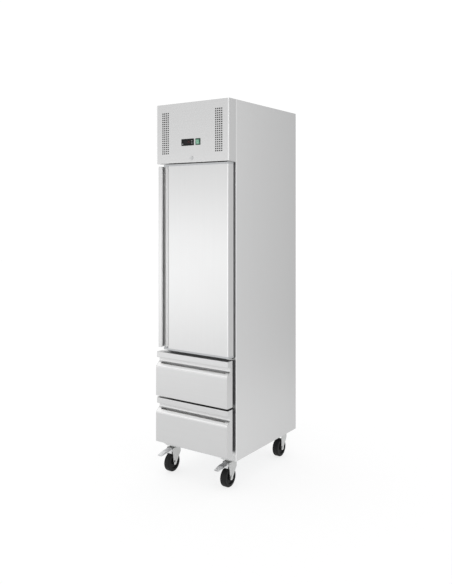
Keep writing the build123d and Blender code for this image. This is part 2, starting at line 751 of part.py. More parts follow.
with BuildPart() as door_skin:
    add(door_shell.part)
    block((door_left - 1, door_y - 1, door_bottom), (seam_x, door_back_y + 1, door_top), Mode.SUBTRACT)
save(door_skin.part, "door_skin")

with BuildPart() as door_handle:
    add(door_shell.part)
    block((seam_x, door_y - 1, door_bottom), (front_half + 1, door_back_y + 1, door_top), Mode.SUBTRACT)
save(door_handle.part, "door_handle")

with BuildPart() as door_insulation:
    extrude(door_inner, amount=section_height)
save(door_insulation.part, "door_insulation")

plug_margin = 26.0
with BuildPart() as door_liner:
    block((door_left + sheet, door_back_y - sheet, door_sections_low),
          (front_half - sheet, door_back_y, door_sections_high))
    block((-inner_x + 6, door_back_y, door_bottom + plug_margin + cap_height),
          (inner_x - 6, door_back_y + plug_rise, door_top - plug_margin - 30))
    fillet(door_liner.edges().group_by(Axis.Y)[-1], radius=4)
save(door_liner.part, "door_liner")

cam_slot_depth = cap_height - 1.5
with BuildPart() as door_caps:
    for cap_low in (door_bottom, door_sections_high):
        with BuildSketch(door_plane(cap_low)) as door_cap:
            with BuildLine():
                Polyline((cap_left, door_thickness), (cap_left, pull_set_back),
                         (pull_zone - 8, pull_set_back), (pull_zone, 0), (front_width, 0),
                         (front_width, door_thickness), close=True)
            make_face()
            round_near(door_cap, ((front_width, 0),), corner_radius)
        extrude(amount=cap_height)
    for plate_low in (door_sections_low - cap_plate, door_sections_high):
        extrude(pull_section(door_plane(plate_low), front_width, door_thickness, door_lip, 0),
                amount=cap_plate)
    for pin_z in (door_bottom, door_top):
        with Locations((hinge_x, hinge_y, pin_z)):
            Cylinder(hinge_pin_radius + pin_gap, 2 * cap_height, mode=Mode.SUBTRACT)
    block((-cam_width / 2 - 2, cam_y - 1.5, door_top - cam_slot_depth),
          (cam_reach - 2, cam_y + cam_thick + 1.5, door_top), Mode.SUBTRACT)
save(door_caps.part, "door_caps")


def gasket(low_z, high_z, front_y, base_depth):
    """Rectangular seal: a wide base on the panel and a narrower bulb towards the jamb."""
    bulb_y = front_y + base_depth
    low = low_z + gasket_end_inset
    high = high_z - gasket_end_inset
    with BuildPart() as ring:
        block((-seal_half, front_y, low), (seal_half, bulb_y, high))
        block((-seal_half + 1, bulb_y, low + 1), (seal_half - 1, seal_y, high - 1))
        for width, from_y, to_y in ((gasket_base_width, front_y, bulb_y), (gasket_width, bulb_y, seal_y)):
            block((-seal_half + width, from_y, low + width), (seal_half - width, to_y, high - width),
                  Mode.SUBTRACT)
    return ring.part


save(gasket(door_bottom, door_top, door_back_y, door_gasket_base), "door_gasket")

bracket_left = hinge_x - hinge_plate_width / 2
bracket_right = hinge_x + hinge_plate_width / 2 - 1
top_plate = head_bottom - moving_gap - hinge_plate
low_plate = (door_bottom + upper_drawer_top) / 2 - hinge_plate / 2
with BuildPart() as hinge_brackets:
    block((bracket_left, hinge_y - hinge_ahead, top_plate), (bracket_right, face_y, top_plate + hinge_plate))
    block((bracket_left, face_y - hinge_plate, top_plate), (bracket_right, face_y, top_plate + hinge_flange))
    rod((hinge_x, hinge_y, door_top - cap_height + 1), (hinge_x, hinge_y, top_plate), hinge_pin_radius)
    block((bracket_left, hinge_y - hinge_ahead, low_plate), (bracket_right, face_y, low_plate + hinge_plate))
    block((bracket_left, face_y - hinge_plate, low_plate - lower_flange / 2),
          (bracket_right, face_y, low_plate + lower_flange / 2))
    rod((hinge_x, hinge_y, low_plate + hinge_plate),
        (hinge_x, hinge_y, door_bottom - moving_gap - 0.2), hinge_pin_radius + 3)
    rod((hinge_x, hinge_y, low_plate), (hinge_x, hinge_y, door_bottom + cap_height - 1), hinge_pin_radius)
save(hinge_brackets.part, "hinge_brackets")

# Drawers and their runners


def channel(side, outer_x, width, half_height, centre_z):
    """Telescopic member: a channel whose open side faces the drawer."""
    low_y = runner_y
    high_y = runner_y + runner_length
    block((side * (outer_x - width), low_y, centre_z - half_height),
          (side * outer_x, high_y, centre_z + half_height))
    block((side * (outer_x - width - 1), low_y - 1, centre_z - half_height + runner_wall),
          (side * (outer_x - runner_wall), high_y + 1, centre_z + half_height - runner_wall),
          Mode.SUBTRACT)


drawer_back_y = drawer_y + drawer_thickness


def drawer_plane(top, side_x):
    """Plane of a drawer section, its local x running down from the top edge."""
    return Plane(origin=(side_x, drawer_y, top), x_dir=(0, 0, -1), z_dir=(1, 0, 0))


def drawer_front(top):
    """Stainless front with end walls, open at the back, and its insulation."""
    outer = pull_section(drawer_plane(top, -front_half), drawer_height, drawer_thickness, drawer_lip, 0)
    inner = pull_section(drawer_plane(top, -front_half + sheet), drawer_height, drawer_thickness,
                         drawer_lip, sheet)
    slot_z = top - pull_slot_centre
    slot_half = front_half - pull_slot_end_margin
    slot_low = (-slot_half, drawer_y + pull_depth - 18, slot_z - pull_slot_height / 2)
    slot_high = (slot_half, drawer_y + pull_depth + pull_slot_depth, slot_z + pull_slot_height / 2)
    with BuildPart() as skin:
        extrude(outer, amount=front_width)
        extrude(inner, amount=front_width - 2 * sheet, mode=Mode.SUBTRACT)
        for side in (-1, 1):
            block((side * (front_half - sheet), drawer_y + pull_set_back + lip_radius, top - drawer_lip),
                  (side * front_half, drawer_y + pull_depth + sheet, top - pull_outer_wall + sheet))
        block((-front_half + sheet, drawer_back_y - sheet, top - drawer_height + sheet),
              (front_half - sheet, drawer_back_y, top - sheet), Mode.SUBTRACT)
        block(slot_low, slot_high, Mode.SUBTRACT)
    with BuildPart() as foam:
        extrude(inner, amount=front_width - 2 * sheet)
        block(slot_low, slot_high, Mode.SUBTRACT)
    return skin.part, foam.part


def drawer_box(top):
    """Back plate of the front, pan carrier and inner runner members in one welded piece."""
    bottom = top - drawer_height
    box_low = bottom + box_above_front_bottom
    rail_z = bottom + runner_above_front_bottom
    box_back = drawer_back_y + box_length
    with BuildPart() as frame:
        block((-front_half + sheet, drawer_back_y - sheet, bottom + sheet),
              (front_half - sheet, drawer_back_y, top - sheet))
        block((-box_half, drawer_back_y, box_low), (box_half, box_back, box_low + box_height))
        block((-box_half + box_sheet, drawer_back_y, box_low + box_sheet),
              (box_half - box_sheet, box_back - box_sheet, box_low + box_height + 1), Mode.SUBTRACT)
        for side in (-1, 1):
            block((side * box_half, runner_y, rail_z - bar_half),
                  (side * bar_x, runner_y + runner_length, rail_z + bar_half))
            block((side * (bar_x - 5), runner_y + 12, rail_z - bar_half + 6),
                  (side * (bar_x + 1), runner_y + runner_length - 12, rail_z + bar_half - 6),
                  Mode.SUBTRACT)
    return frame.part


def drawer_slides(top):
    """Intermediate runner members, one on each side."""
    rail_z = top - drawer_height + runner_above_front_bottom
    with BuildPart() as slides:
        for side in (-1, 1):
            channel(side, slide_x, rail_width - 1.0, slide_outer_half, rail_z)
    return slides.part


for drawer_name, drawer_top in (("upper", upper_drawer_top), ("lower", lower_drawer_top)):
    front_skin, front_foam = drawer_front(drawer_top)
    save(front_skin, f"{drawer_name}_drawer_front")
    save(front_foam, f"{drawer_name}_drawer_insulation")
    save(gasket(drawer_top - drawer_height, drawer_top, drawer_back_y, drawer_gasket_base),
         f"{drawer_name}_drawer_gasket")
    save(drawer_box(drawer_top), f"{drawer_name}_drawer_frame")
    save(drawer_slides(drawer_top), f"{drawer_name}_drawer_slides")

with BuildPart() as runner_rails:
    for drawer_top in (upper_drawer_top, lower_drawer_top):
        for side in (-1, 1):
            channel(side, inner_x, rail_width, rail_outer_half,
                    drawer_top - drawer_height + runner_above_front_bottom)
save(runner_rails.part, "runner_rails")

# Casters

caster_places = {
    "front_left": (-caster_x, front_caster_y, True),
    "front_right": (caster_x, front_caster_y, True),
    "rear_left": (-caster_x, rear_caster_y, False),
    "rear_right": (caster_x, rear_caster_y, False),
}

with BuildPart() as caster_plates:
    for place_x, place_y, _ in caster_places.values():
        with Locations((place_x, place_y, plate_bottom + plate_thick / 2)):
            Box(plate_width, plate_length, plate_thick)
        with Locations((place_x, place_y, race_bottom + race_height / 2)):
            Cylinder(race_radius, race_height)
        with Locations((place_x, place_y, (crown_bottom + race_bottom) / 2)):
            Cylinder(king_pin_radius, race_bottom - crown_bottom + 2)
        with Locations((place_x, place_y, crown_bottom - moving_gap - 3)):
            Cylinder(king_pin_radius + 5, 6)
save(caster_plates.part, "caster_plates")


def fork(place_x, place_y, with_brake):
    """Pressed fork: crown round the king pin, two legs down to the axle."""
    axle_y = place_y - wheel_trail
    fork_ahead = pedal_pivot_ahead + 8 if with_brake else pedal_pivot_ahead - 4
    middle_y = place_y + (fork_behind - fork_ahead) / 2
    with BuildPart() as piece:
        for leg in (-1, 1):
            leg_x = place_x + leg * leg_inner
            if leg < 0:
                leg_x -= fork_sheet
            with BuildSketch(Plane.YZ.offset(leg_x)):
                with Locations((axle_y, wheel_radius)):
                    Circle(fork_tip_radius)
                with Locations((middle_y, crown_bottom - fork_shoulder / 2)):
                    Rectangle(fork_ahead + fork_behind, fork_shoulder)
                make_hull()
            extrude(amount=fork_sheet)
        with BuildSketch(Plane.XY.offset(crown_bottom)):
            with Locations((place_x, middle_y)):
                Rectangle(2 * leg_outer, fork_ahead + fork_behind)
            with Locations((place_x, place_y)):
                Circle(race_radius)
        extrude(amount=crown_thick)
        with Locations((place_x, place_y, crown_bottom)):
            Cylinder(king_pin_radius + pin_gap, 4 * crown_thick, mode=Mode.SUBTRACT)
        rod((place_x - leg_outer - 1, axle_y, wheel_radius), (place_x + leg_outer + 1, axle_y, wheel_radius),
            axle_radius + fit_gap, Mode.SUBTRACT)
        if with_brake:
            pivot_y = place_y - pedal_pivot_ahead
            rod((place_x - leg_outer - 1, pivot_y, pedal_pivot_height),
                (place_x + leg_outer + 1, pivot_y, pedal_pivot_height),
                pedal_pin_radius + pin_gap, Mode.SUBTRACT)
            block((place_x - leg_inner, place_y - 60, crown_bottom - 1),
                  (place_x + leg_inner, place_y - 36, crown_top + 1), Mode.SUBTRACT)
    with BuildPart() as bolt:
        rod((place_x - leg_outer - 2, axle_y, wheel_radius), (place_x + leg_outer + 2, axle_y, wheel_radius),
            axle_radius)
        for end in (-1, 1):
            with BuildSketch(Plane(origin=(place_x + end * leg_outer, axle_y, wheel_radius), z_dir=(end, 0, 0))):
                RegularPolygon(axle_radius + 3, 6)
            extrude(amount=5)
    return Compound(label="fork", children=[piece.part, bolt.part])


def wheel(place_x, place_y):
    """Solid wheel with a rounded tread, dished sides and a hub."""
    axle_y = place_y - wheel_trail
    bore = axle_radius + pin_gap
    with BuildPart() as piece:
        with BuildSketch(Plane.XZ.offset(-axle_y)) as outline:
            with Locations((place_x, wheel_radius + (wheel_radius + bore) / 2)):
                Rectangle(wheel_width, wheel_radius - bore)
            fillet(outline.vertices().group_by(Axis.Y)[-1], radius=6)
            with Locations((place_x, wheel_radius + (hub_radius + bore) / 2)):
                Rectangle(2 * hub_half, hub_radius - bore)
            for side in (-1, 1):
                with Locations((place_x + side * wheel_width / 2, wheel_radius + (hub_radius + rim_radius) / 2)):
                    Rectangle(2 * wheel_dish, rim_radius - hub_radius, mode=Mode.SUBTRACT)
        revolve(axis=Axis((0, axle_y, wheel_radius), (1, 0, 0)))
    return piece.part


def pedal(place_x, place_y):
    """Brake pedal with its pivot pin and the shoe over the wheel."""
    pivot_y = place_y - pedal_pivot_ahead
    top = crown_top - 1.5
    half = pedal_width / 2
    with BuildPart() as piece:
        sloped = Plane(origin=(place_x, pivot_y, top), x_dir=(1, 0, 0), z_dir=(0, 0, 1))
        with BuildSketch(sloped.rotated((pedal_slope, 0, 0))) as tread:
            with BuildLine():
                Polyline((-half, 6), (-half, -20), (-half - 3, -45), (-half + 4, -pedal_length),
                         (half - 4, -pedal_length), (half + 3, -45), (half, -20), (half, 6), close=True)
            make_face()
            fillet(tread.vertices().group_by(Axis.Y)[0], radius=6)
        extrude(amount=-pedal_thick)
        block((place_x - half, pivot_y - 6, pedal_pivot_height - 6), (place_x + half, pivot_y + 6, top - 1))
        block((place_x - half + 3, pivot_y - 10, shoe_bottom), (place_x + half - 3, pivot_y - 3, top - 1))
        rod((place_x - leg_outer - 1, pivot_y, pedal_pivot_height),
            (place_x + leg_outer + 1, pivot_y, pedal_pivot_height), pedal_pin_radius)
    return piece.part


for place, (place_x, place_y, with_brake) in caster_places.items():
    save(fork(place_x, place_y, with_brake), f"caster_fork_{place}")
    save(wheel(place_x, place_y), f"caster_wheel_{place}")
    if with_brake:
        save(pedal(place_x, place_y), f"brake_pedal_{place}")
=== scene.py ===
import logging
import math
from dataclasses import dataclass
from enum import Enum
from typing import Callable, Iterable, Sequence

import bmesh
import bpy
from mathutils import Matrix, Vector


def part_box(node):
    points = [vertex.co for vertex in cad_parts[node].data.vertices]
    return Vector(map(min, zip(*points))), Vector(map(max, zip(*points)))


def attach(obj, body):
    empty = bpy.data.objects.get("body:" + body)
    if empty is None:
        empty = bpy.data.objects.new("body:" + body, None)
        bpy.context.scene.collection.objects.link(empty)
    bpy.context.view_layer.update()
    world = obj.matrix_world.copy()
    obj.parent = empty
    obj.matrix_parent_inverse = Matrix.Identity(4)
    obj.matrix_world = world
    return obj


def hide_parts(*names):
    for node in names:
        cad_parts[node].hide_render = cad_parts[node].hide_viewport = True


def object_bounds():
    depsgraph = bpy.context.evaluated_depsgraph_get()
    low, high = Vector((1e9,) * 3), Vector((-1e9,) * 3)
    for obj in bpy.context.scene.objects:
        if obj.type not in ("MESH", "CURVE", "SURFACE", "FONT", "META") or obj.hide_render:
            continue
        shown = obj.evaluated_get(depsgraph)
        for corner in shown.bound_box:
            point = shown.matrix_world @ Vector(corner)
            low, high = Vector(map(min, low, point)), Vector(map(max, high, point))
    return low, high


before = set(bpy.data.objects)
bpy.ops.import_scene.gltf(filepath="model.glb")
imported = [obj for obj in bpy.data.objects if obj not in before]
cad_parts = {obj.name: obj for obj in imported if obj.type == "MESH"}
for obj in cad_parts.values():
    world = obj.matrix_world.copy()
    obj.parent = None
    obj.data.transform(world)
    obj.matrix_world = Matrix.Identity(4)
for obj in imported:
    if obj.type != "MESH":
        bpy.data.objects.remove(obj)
CAD_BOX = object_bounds()

log = logging.getLogger("refrigerator")

Point = tuple[float, float, float]
Colour = tuple[float, float, float]

FRONT = (0.0, -1.0, 0.0)
BACK = (0.0, 1.0, 0.0)
UP = (0.0, 0.0, 1.0)
DOWN = (0.0, 0.0, -1.0)
LEFT = (-1.0, 0.0, 0.0)
MIRROR = Matrix.Scale(-1.0, 4, (1.0, 0.0, 0.0))


class Axis(Enum):
    """The three directions of the cabinet."""

    X = 0
    Y = 1
    Z = 2


class Grain(Enum):
    """Which way the brushing of a sheet runs, as noise scales along X, Y and Z."""

    UPRIGHT = (760.0, 760.0, 5.0)
    LEVEL = (5.0, 760.0, 760.0)


# Shader maths


@dataclass(frozen=True)
class Signal:
    """One shader socket that can be reckoned with like a number."""

    tree: bpy.types.NodeTree
    socket: bpy.types.NodeSocket

    def reckon(self, operation: str, other: "Signal | float", flipped: bool = False) -> "Signal":
        """Joins this signal and another through one Math node.

        Args:
            operation: Blender's name for the operation.
            other: The second number or signal.
            flipped: True puts the other one first.

        Returns:
            The result as a new signal.
        """
        step = self.tree.nodes.new("ShaderNodeMath")
        step.operation = operation
        values = (other, self) if flipped else (self, other)
        for slot, value in zip(step.inputs, values):
            if isinstance(value, Signal):
                self.tree.links.new(value.socket, slot)
            else:
                slot.default_value = value
        return Signal(self.tree, step.outputs[0])

    def __add__(self, other: "Signal | float") -> "Signal":
        """This plus the other."""
        return self.reckon("ADD", other)

    def __radd__(self, other: float) -> "Signal":
        """The other plus this."""
        return self.reckon("ADD", other, flipped=True)

    def __sub__(self, other: "Signal | float") -> "Signal":
        """This minus the other."""
        return self.reckon("SUBTRACT", other)

    def __rsub__(self, other: float) -> "Signal":
        """The other minus this."""
        return self.reckon("SUBTRACT", other, flipped=True)

    def __mul__(self, other: "Signal | float") -> "Signal":
        """This times the other."""
        return self.reckon("MULTIPLY", other)

    def __rmul__(self, other: float) -> "Signal":
        """The other times this."""
        return self.reckon("MULTIPLY", other, flipped=True)

    def __truediv__(self, other: "Signal | float") -> "Signal":
        """This divided by the other."""
        return self.reckon("DIVIDE", other)

    def __pow__(self, other: "Signal | float") -> "Signal":
        """This raised to the other."""
        return self.reckon("POWER", other)

    def over(self, limit: float) -> "Signal":
        """One where this is more than the limit, and nought elsewhere."""
        return self.reckon("GREATER_THAN", limit)


class NodeBench:
    """A node tree while nodes are added to it."""

    def __init__(self, tree: bpy.types.NodeTree) -> None:
        """Takes the tree."""
        self.tree = tree

    def add(self, kind: str, feeds: dict, output: int | str = 0, **settings: object) -> Signal:
        """Adds any node.

        Args:
            kind: The node's Blender type.
            feeds: What goes into its sockets, by name or number.
            output: The socket that is read.
            **settings: Properties of the node.

        Returns:
            The output that is read.
        """
        node = self.tree.nodes.new(kind)
        for name, value in settings.items():
            setattr(node, name, value)
        for name, value in feeds.items():
            if isinstance(value, Signal):
                self.tree.links.new(value.socket, node.inputs[name])
            else:
                node.inputs[name].default_value = value
        return Signal(self.tree, node.outputs[output])


class FinishBench(NodeBench):
    """The node tree of one material while its finish is laid down."""

    def __init__(self, name: str) -> None:
        """Starts a material with a bare Principled shader.

        Args:
            name: Name of the material.
        """
        self.material = bpy.data.materials.new(name)
        self.material.use_nodes = True
        super().__init__(self.material.node_tree)
        self.shader = self.tree.nodes["Principled BSDF"]

    def place(self) -> Signal:
        """Where the shaded point is on the piece, in metres."""
        return self.add("ShaderNodeTexCoord", {}, "Object")

    def along(self, axis: Axis) -> Signal:
        """The shaded point's place along one axis, in metres."""
        return self.add("ShaderNodeSeparateXYZ", {"Vector": self.place()}, axis.value)

    def noise(self, scale: float | Point, detail: float = 2.0, rough: float = 0.5) -> Signal:
        """Smooth unevenness.

        Args:
            scale: Waves per metre, the same every way or for each axis.
            detail: How many finer layers are added.
            rough: How strong the finer layers are.

        Returns:
            A signal around one half.
        """
        spread = scale if isinstance(scale, tuple) else (scale, scale, scale)
        placed = self.add("ShaderNodeMapping", {"Vector": self.place(), "Scale": spread})
        feeds = {"Vector": placed, "Scale": 1.0, "Detail": detail, "Roughness": rough}
        return self.add("ShaderNodeTexNoise", feeds, "Fac")

    def cells(self, scale: float, output: str = "Distance") -> Signal:
        """Cell pattern with that many cells per metre."""
        return self.add("ShaderNodeTexVoronoi", {"Vector": self.place(), "Scale": scale}, output)

    def edges(self, scale: float) -> Signal:
        """Distance to the borders of a cell pattern."""
        feeds = {"Vector": self.place(), "Scale": scale}
        return self.add("ShaderNodeTexVoronoi", feeds, "Distance", feature="DISTANCE_TO_EDGE")

    def ramp(self, share: Signal, low: float, high: float) -> Signal:
        """Stretches the band from low to high over nought to one."""
        feeds = {"Value": share, "From Min": low, "From Max": high}
        return self.add("ShaderNodeMapRange", feeds, 0, clamp=True)

    def blend(self, share: Signal, first: "Colour | Signal", second: "Colour | Signal") -> Signal:
        """Mixes two colours by a share."""
        ends = [c if isinstance(c, Signal) else (*c, 1.0) for c in (first, second)]
        return self.add("ShaderNodeMix", {0: share, 6: ends[0], 7: ends[1]}, 2, data_type="RGBA")

    def feed(self, **signals: Signal) -> None:
        """Links signals to the shader: colour, roughness, glow, normal.

        Args:
            **signals: Signals by their plain names.
        """
        names = {"colour": "Base Color", "roughness": "Roughness", "glow": "Emission Color",
                 "normal": "Normal"}
        for name, signal in signals.items():
            self.tree.links.new(signal.socket, self.shader.inputs[names[name]])

    def relief(self, height: Signal, strength: float, depth: float) -> None:
        """Feeds the shader a bump from a height signal."""
        feeds = {"Height": height, "Strength": strength, "Distance": depth}
        self.feed(normal=self.add("ShaderNodeBump", feeds, "Normal"))

    def steady(self, **values: float) -> None:
        """Sets numbers that are the same all over on the shader itself.

        Args:
            **values: Numbers by their plain names.
        """
        names = {"metallic": "Metallic", "roughness": "Roughness", "coat": "Coat Weight",
                 "coat_roughness": "Coat Roughness", "specular": "Specular IOR Level",
                 "glow": "Emission Strength", "skin": "Subsurface Weight"}
        for name, value in values.items():
            self.shader.inputs[names[name]].default_value = value


# Finishes


class Finish:
    """A finish that makes its material once and hands it out to every piece that wears it."""

    name: str
    made: dict["Finish", bpy.types.Material] = {}

    def material(self) -> bpy.types.Material:
        """The material of this finish, made the first time that it is asked for.

        Returns:
            The one material of this finish.
        """
        if self not in Finish.made:
            bench = FinishBench(self.name)
            self.lay(bench)
            Finish.made[self] = bench.material
        return Finish.made[self]

    def lay(self, bench: FinishBench) -> None:
        """Lays the finish down on the bench.

        Args:
            bench: Bench of the new material.
        """
        raise NotImplementedError


def shade(colour: Colour, factor: float) -> Colour:
    """The colour, darker or lighter by a factor."""
    return tuple(min(1.0, c * factor) for c in colour)


def grey(tone: float) -> Colour:
    """A neutral colour."""
    return (tone, tone, tone)


@dataclass(frozen=True)
class Bend:
    """Both upright bends of a folded sheet, as their distance from the middle and their depth, and how far
    the painted highlight along them reaches.
    """

    across: float
    depth: float
    reach_across: float
    reach_deep: float


@dataclass(frozen=True)
class Room:
    """A box of space in which the sheet has another colour, painted light or painted shade, such as inside a
    recessed pull.
    """

    low: Point
    high: Point
    colour: Colour

    def inside(self, bench: FinishBench) -> Signal:
        """One inside the room and nought outside.

        Args:
            bench: Bench of the sheet's material.

        Returns:
            The mask.
        """
        mask = 1.0
        for axis, low, high in zip(Axis, self.low, self.high):
            place = bench.along(axis)
            mask = mask * place.over(low) * (1.0 - place.over(high))
        return mask


@dataclass(frozen=True)
class BrushedSheet(Finish):
    """Satin stainless sheet: fine brushing, faint clouds of handling and a few long scratches."""

    name: str
    grain: Grain
    colour: Colour = (0.588, 0.589, 0.59)
    roughness: float = 0.36
    brushing: float = 0.05
    bend: "Bend | None" = None
    bend_highlight_colour: Colour = (0.76, 0.762, 0.764)
    rooms: "tuple[Room, ...]" = ()
    rear_shade: float = 1.0

    def polish(self, bench: FinishBench) -> Signal:
        """How strongly the painted highlight along the upright bends shows.

        Args:
            bench: Bench of the sheet's material.

        Returns:
            One at a bend, falling to nought.
        """
        side = bench.along(Axis.X).reckon("ABSOLUTE", 0.0) - self.bend.across
        depth = bench.along(Axis.Y) - self.bend.depth
        off_side = side.reckon("ABSOLUTE", 0.0) / self.bend.reach_across
        off_front = depth.reckon("ABSOLUTE", 0.0) / self.bend.reach_deep
        return bench.ramp(off_side.reckon("MAXIMUM", off_front), 1.0, 0.7)

    def lay(self, bench: FinishBench) -> None:
        """Lays fine and coarse brushing under wiped clouds, a painted highlight along the bends, painted
        shade towards the back and painted light or shade in the rooms, where they are set.

        Args:
            bench: Bench of the new material.
        """
        fine = bench.noise(self.grain.value, 3.0, 0.65)
        coarse = bench.noise(tuple(s * 0.21 for s in self.grain.value), 2.0)
        clouds = bench.noise(3.1, 3.0, 0.55)
        scratch = bench.ramp(bench.noise(tuple(s * 0.12 for s in self.grain.value), 4.0, 0.8), 0.70, 0.74)
        brushing = fine * 0.65 + coarse * 0.35
        tone = bench.ramp(brushing + clouds * 0.18, 0.34, 0.84)
        sheet = bench.blend(tone, shade(self.colour, 0.97), shade(self.colour, 1.03))
        # Painted shade: the sheet darkens towards the back.
        if self.rear_shade < 1.0:
            towards_back = bench.ramp(bench.along(Axis.Y), CAD_BOX[0][1], CAD_BOX[1][1])
            sheet = bench.blend(towards_back, sheet, shade(self.colour, self.rear_shade))
        # Painted highlight: a lighter band of colour along the upright bends.
        if self.bend:
            sheet = bench.blend(self.polish(bench), sheet, self.bend_highlight_colour)
        # Painted light or shade inside the rooms.
        for room in self.rooms:
            sheet = bench.blend(room.inside(bench), sheet, room.colour)
        bench.feed(
            colour=sheet,
            roughness=self.roughness - 0.07 + brushing * 0.1 + clouds * 0.05 + scratch * 0.04,
        )
        bench.relief(brushing - scratch * 0.4, self.brushing, 0.0004)
        bench.steady(metallic=1.0)


@dataclass(frozen=True)
class Galvanised(Finish):
    """Zinc-dipped sheet with its crystal spangle."""

    name: str = "spangled_zinc_sheet"
    colour: Colour = (0.56, 0.58, 0.6)

    def lay(self, bench: FinishBench) -> None:
        """Lays crystals of differing grey with dull borders.

        Args:
            bench: Bench of the new material.
        """
        crystal = bench.add("ShaderNodeSeparateColor", {"Color": bench.cells(85.0, "Color")}, 0)
        border = bench.ramp(bench.edges(85.0), 0.0, 0.06)
        cloud = bench.noise(7.0, 4.0, 0.6)
        share = crystal * 0.6 + cloud * 0.4
        bench.feed(
            colour=bench.blend(share, shade(self.colour, 0.8), shade(self.colour, 1.15)),
            roughness=0.5 - crystal * 0.14 + (1.0 - border) * 0.06,
        )
        bench.relief(border * 0.4 + crystal * 0.3 + cloud * 0.3, 0.12, 0.0004)
        bench.steady(metallic=1.0)


@dataclass(frozen=True)
class PlatedSteel(Finish):
    """Bright zinc plating on pressed steel, duller where it was drawn and handled."""

    name: str = "bright_plating"
    colour: Colour = (0.53, 0.535, 0.53)
    roughness: float = 0.26
    dirt: float = 0.12

    def lay(self, bench: FinishBench) -> None:
        """Lays cloudy plating with pores and a little grime.

        Args:
            bench: Bench of the new material.
        """
        cloud = bench.noise(46.0, 4.0, 0.6)
        pores = bench.ramp(bench.noise(620.0, 2.0), 0.6, 0.78)
        drawn = bench.noise((90.0, 90.0, 420.0), 2.0)
        grime = bench.ramp(cloud, 0.52, 0.8)
        clean = bench.blend(drawn, shade(self.colour, 0.93), shade(self.colour, 1.06))
        bench.feed(
            colour=bench.blend(grime * self.dirt, clean, shade(self.colour, 0.35)),
            roughness=self.roughness + cloud * 0.12 + pores * 0.1 + grime * 0.06,
        )
        bench.relief(cloud * 0.5 + pores * 0.2 + drawn * 0.3, 0.1, 0.0003)
        bench.steady(metallic=1.0)


@dataclass(frozen=True)
class Foam(Finish):
    """Poured rigid foam: pale, matt and full of small cells."""

    name: str = "poured_foam"
    colour: Colour = (0.83, 0.77, 0.6)

    def lay(self, bench: FinishBench) -> None:
        """Lays small cells under a darker skin in places.

        Args:
            bench: Bench of the new material.
        """
        cells = bench.cells(900.0)
        skin = bench.noise(22.0, 4.0, 0.6)
        bench.feed(
            colour=bench.blend(bench.ramp(cells * 0.5 + skin * 0.5, 0.2, 0.7),
                               shade(self.colour, 0.82), shade(self.colour, 1.06)),
            roughness=0.82 + skin * 0.12,
        )
        bench.relief(cells * 0.7 + skin * 0.3, 0.5, 0.0006)
        bench.steady(skin=0.05)


@dataclass(frozen=True)
class Moulding(Finish):
    """Moulded plastic with a spark-eroded texture."""

    name: str
    colour: Colour
    roughness: float = 0.42
    texture: float = 0.16
    pitch: float = 1400.0
    coat: float = 0.0
    specular: float = 0.5

    def lay(self, bench: FinishBench) -> None:
        """Lays a fine pebbled texture, flow clouds and faint rub marks.

        Args:
            bench: Bench of the new material.
        """
        pebble = bench.noise(self.pitch, 2.0, 0.6)
        flow = bench.noise(18.0, 3.0, 0.6)
        rub = bench.ramp(bench.noise((260.0, 40.0, 90.0), 3.0, 0.7), 0.62, 0.74)
        bench.feed(
            colour=bench.blend(flow * 0.7 + pebble * 0.3, shade(self.colour, 0.9), shade(self.colour, 1.12)),
            roughness=self.roughness - 0.06 + pebble * 0.1 + flow * 0.05 - rub * 0.05,
        )
        bench.relief(pebble, self.texture, 0.0002)
        bench.steady(coat=self.coat, coat_roughness=0.12, specular=self.specular)


@dataclass(frozen=True)
class Rubber(Finish):
    """Soft dark seal or tread with bloom in the low spots."""

    name: str
    colour: Colour
    roughness: float = 0.62
    specular: float = 0.4

    def lay(self, bench: FinishBench) -> None:
        """Lays a dull skin with dusty bloom.

        Args:
            bench: Bench of the new material.
        """
        skin = bench.noise(950.0, 2.0, 0.6)
        bloom = bench.ramp(bench.noise(34.0, 5.0, 0.65), 0.42, 0.78)
        bench.feed(
            colour=bench.blend(bloom * 0.8 + skin * 0.2, self.colour, shade(self.colour, 1.7)),
            roughness=self.roughness + bloom * 0.12 + skin * 0.06,
        )
        bench.relief(skin * 0.7 + bloom * 0.3, 0.22, 0.0003)
        bench.steady(specular=self.specular)


@dataclass(frozen=True)
class Plating(Finish):
    """Polished chrome with fine wipe marks."""

    name: str = "polished_chrome"
    colour: Colour = (0.72, 0.73, 0.74)

    def lay(self, bench: FinishBench) -> None:
        """Lays wipe marks and faint pits.

        Args:
            bench: Bench of the new material.
        """
        wipe = bench.noise((900.0, 900.0, 120.0), 3.0, 0.6)
        pits = bench.ramp(bench.noise(1500.0, 1.0), 0.7, 0.78)
        bench.feed(
            colour=bench.blend(pits, self.colour, shade(self.colour, 0.75)),
            roughness=0.1 + wipe * 0.08 + pits * 0.14,
        )
        bench.relief(wipe - pits * 0.5, 0.03, 0.0002)
        bench.steady(metallic=1.0)


@dataclass(frozen=True)
class Enamel(Finish):
    """Sprayed paint with orange peel."""

    name: str = "black_spray_enamel"
    colour: Colour = (0.02, 0.02, 0.022)

    def lay(self, bench: FinishBench) -> None:
        """Lays orange peel and specks of dust.

        Args:
            bench: Bench of the new material.
        """
        peel = bench.noise(330.0, 2.0, 0.5)
        dust = bench.ramp(bench.noise(60.0, 6.0, 0.7), 0.5, 0.8)
        bench.feed(
            colour=bench.blend(dust * 0.35, self.colour, (0.2, 0.19, 0.18)),
            roughness=0.28 + dust * 0.25 + peel * 0.05,
        )
        bench.relief(peel, 0.18, 0.0003)
        bench.steady(coat=0.3, coat_roughness=0.15)


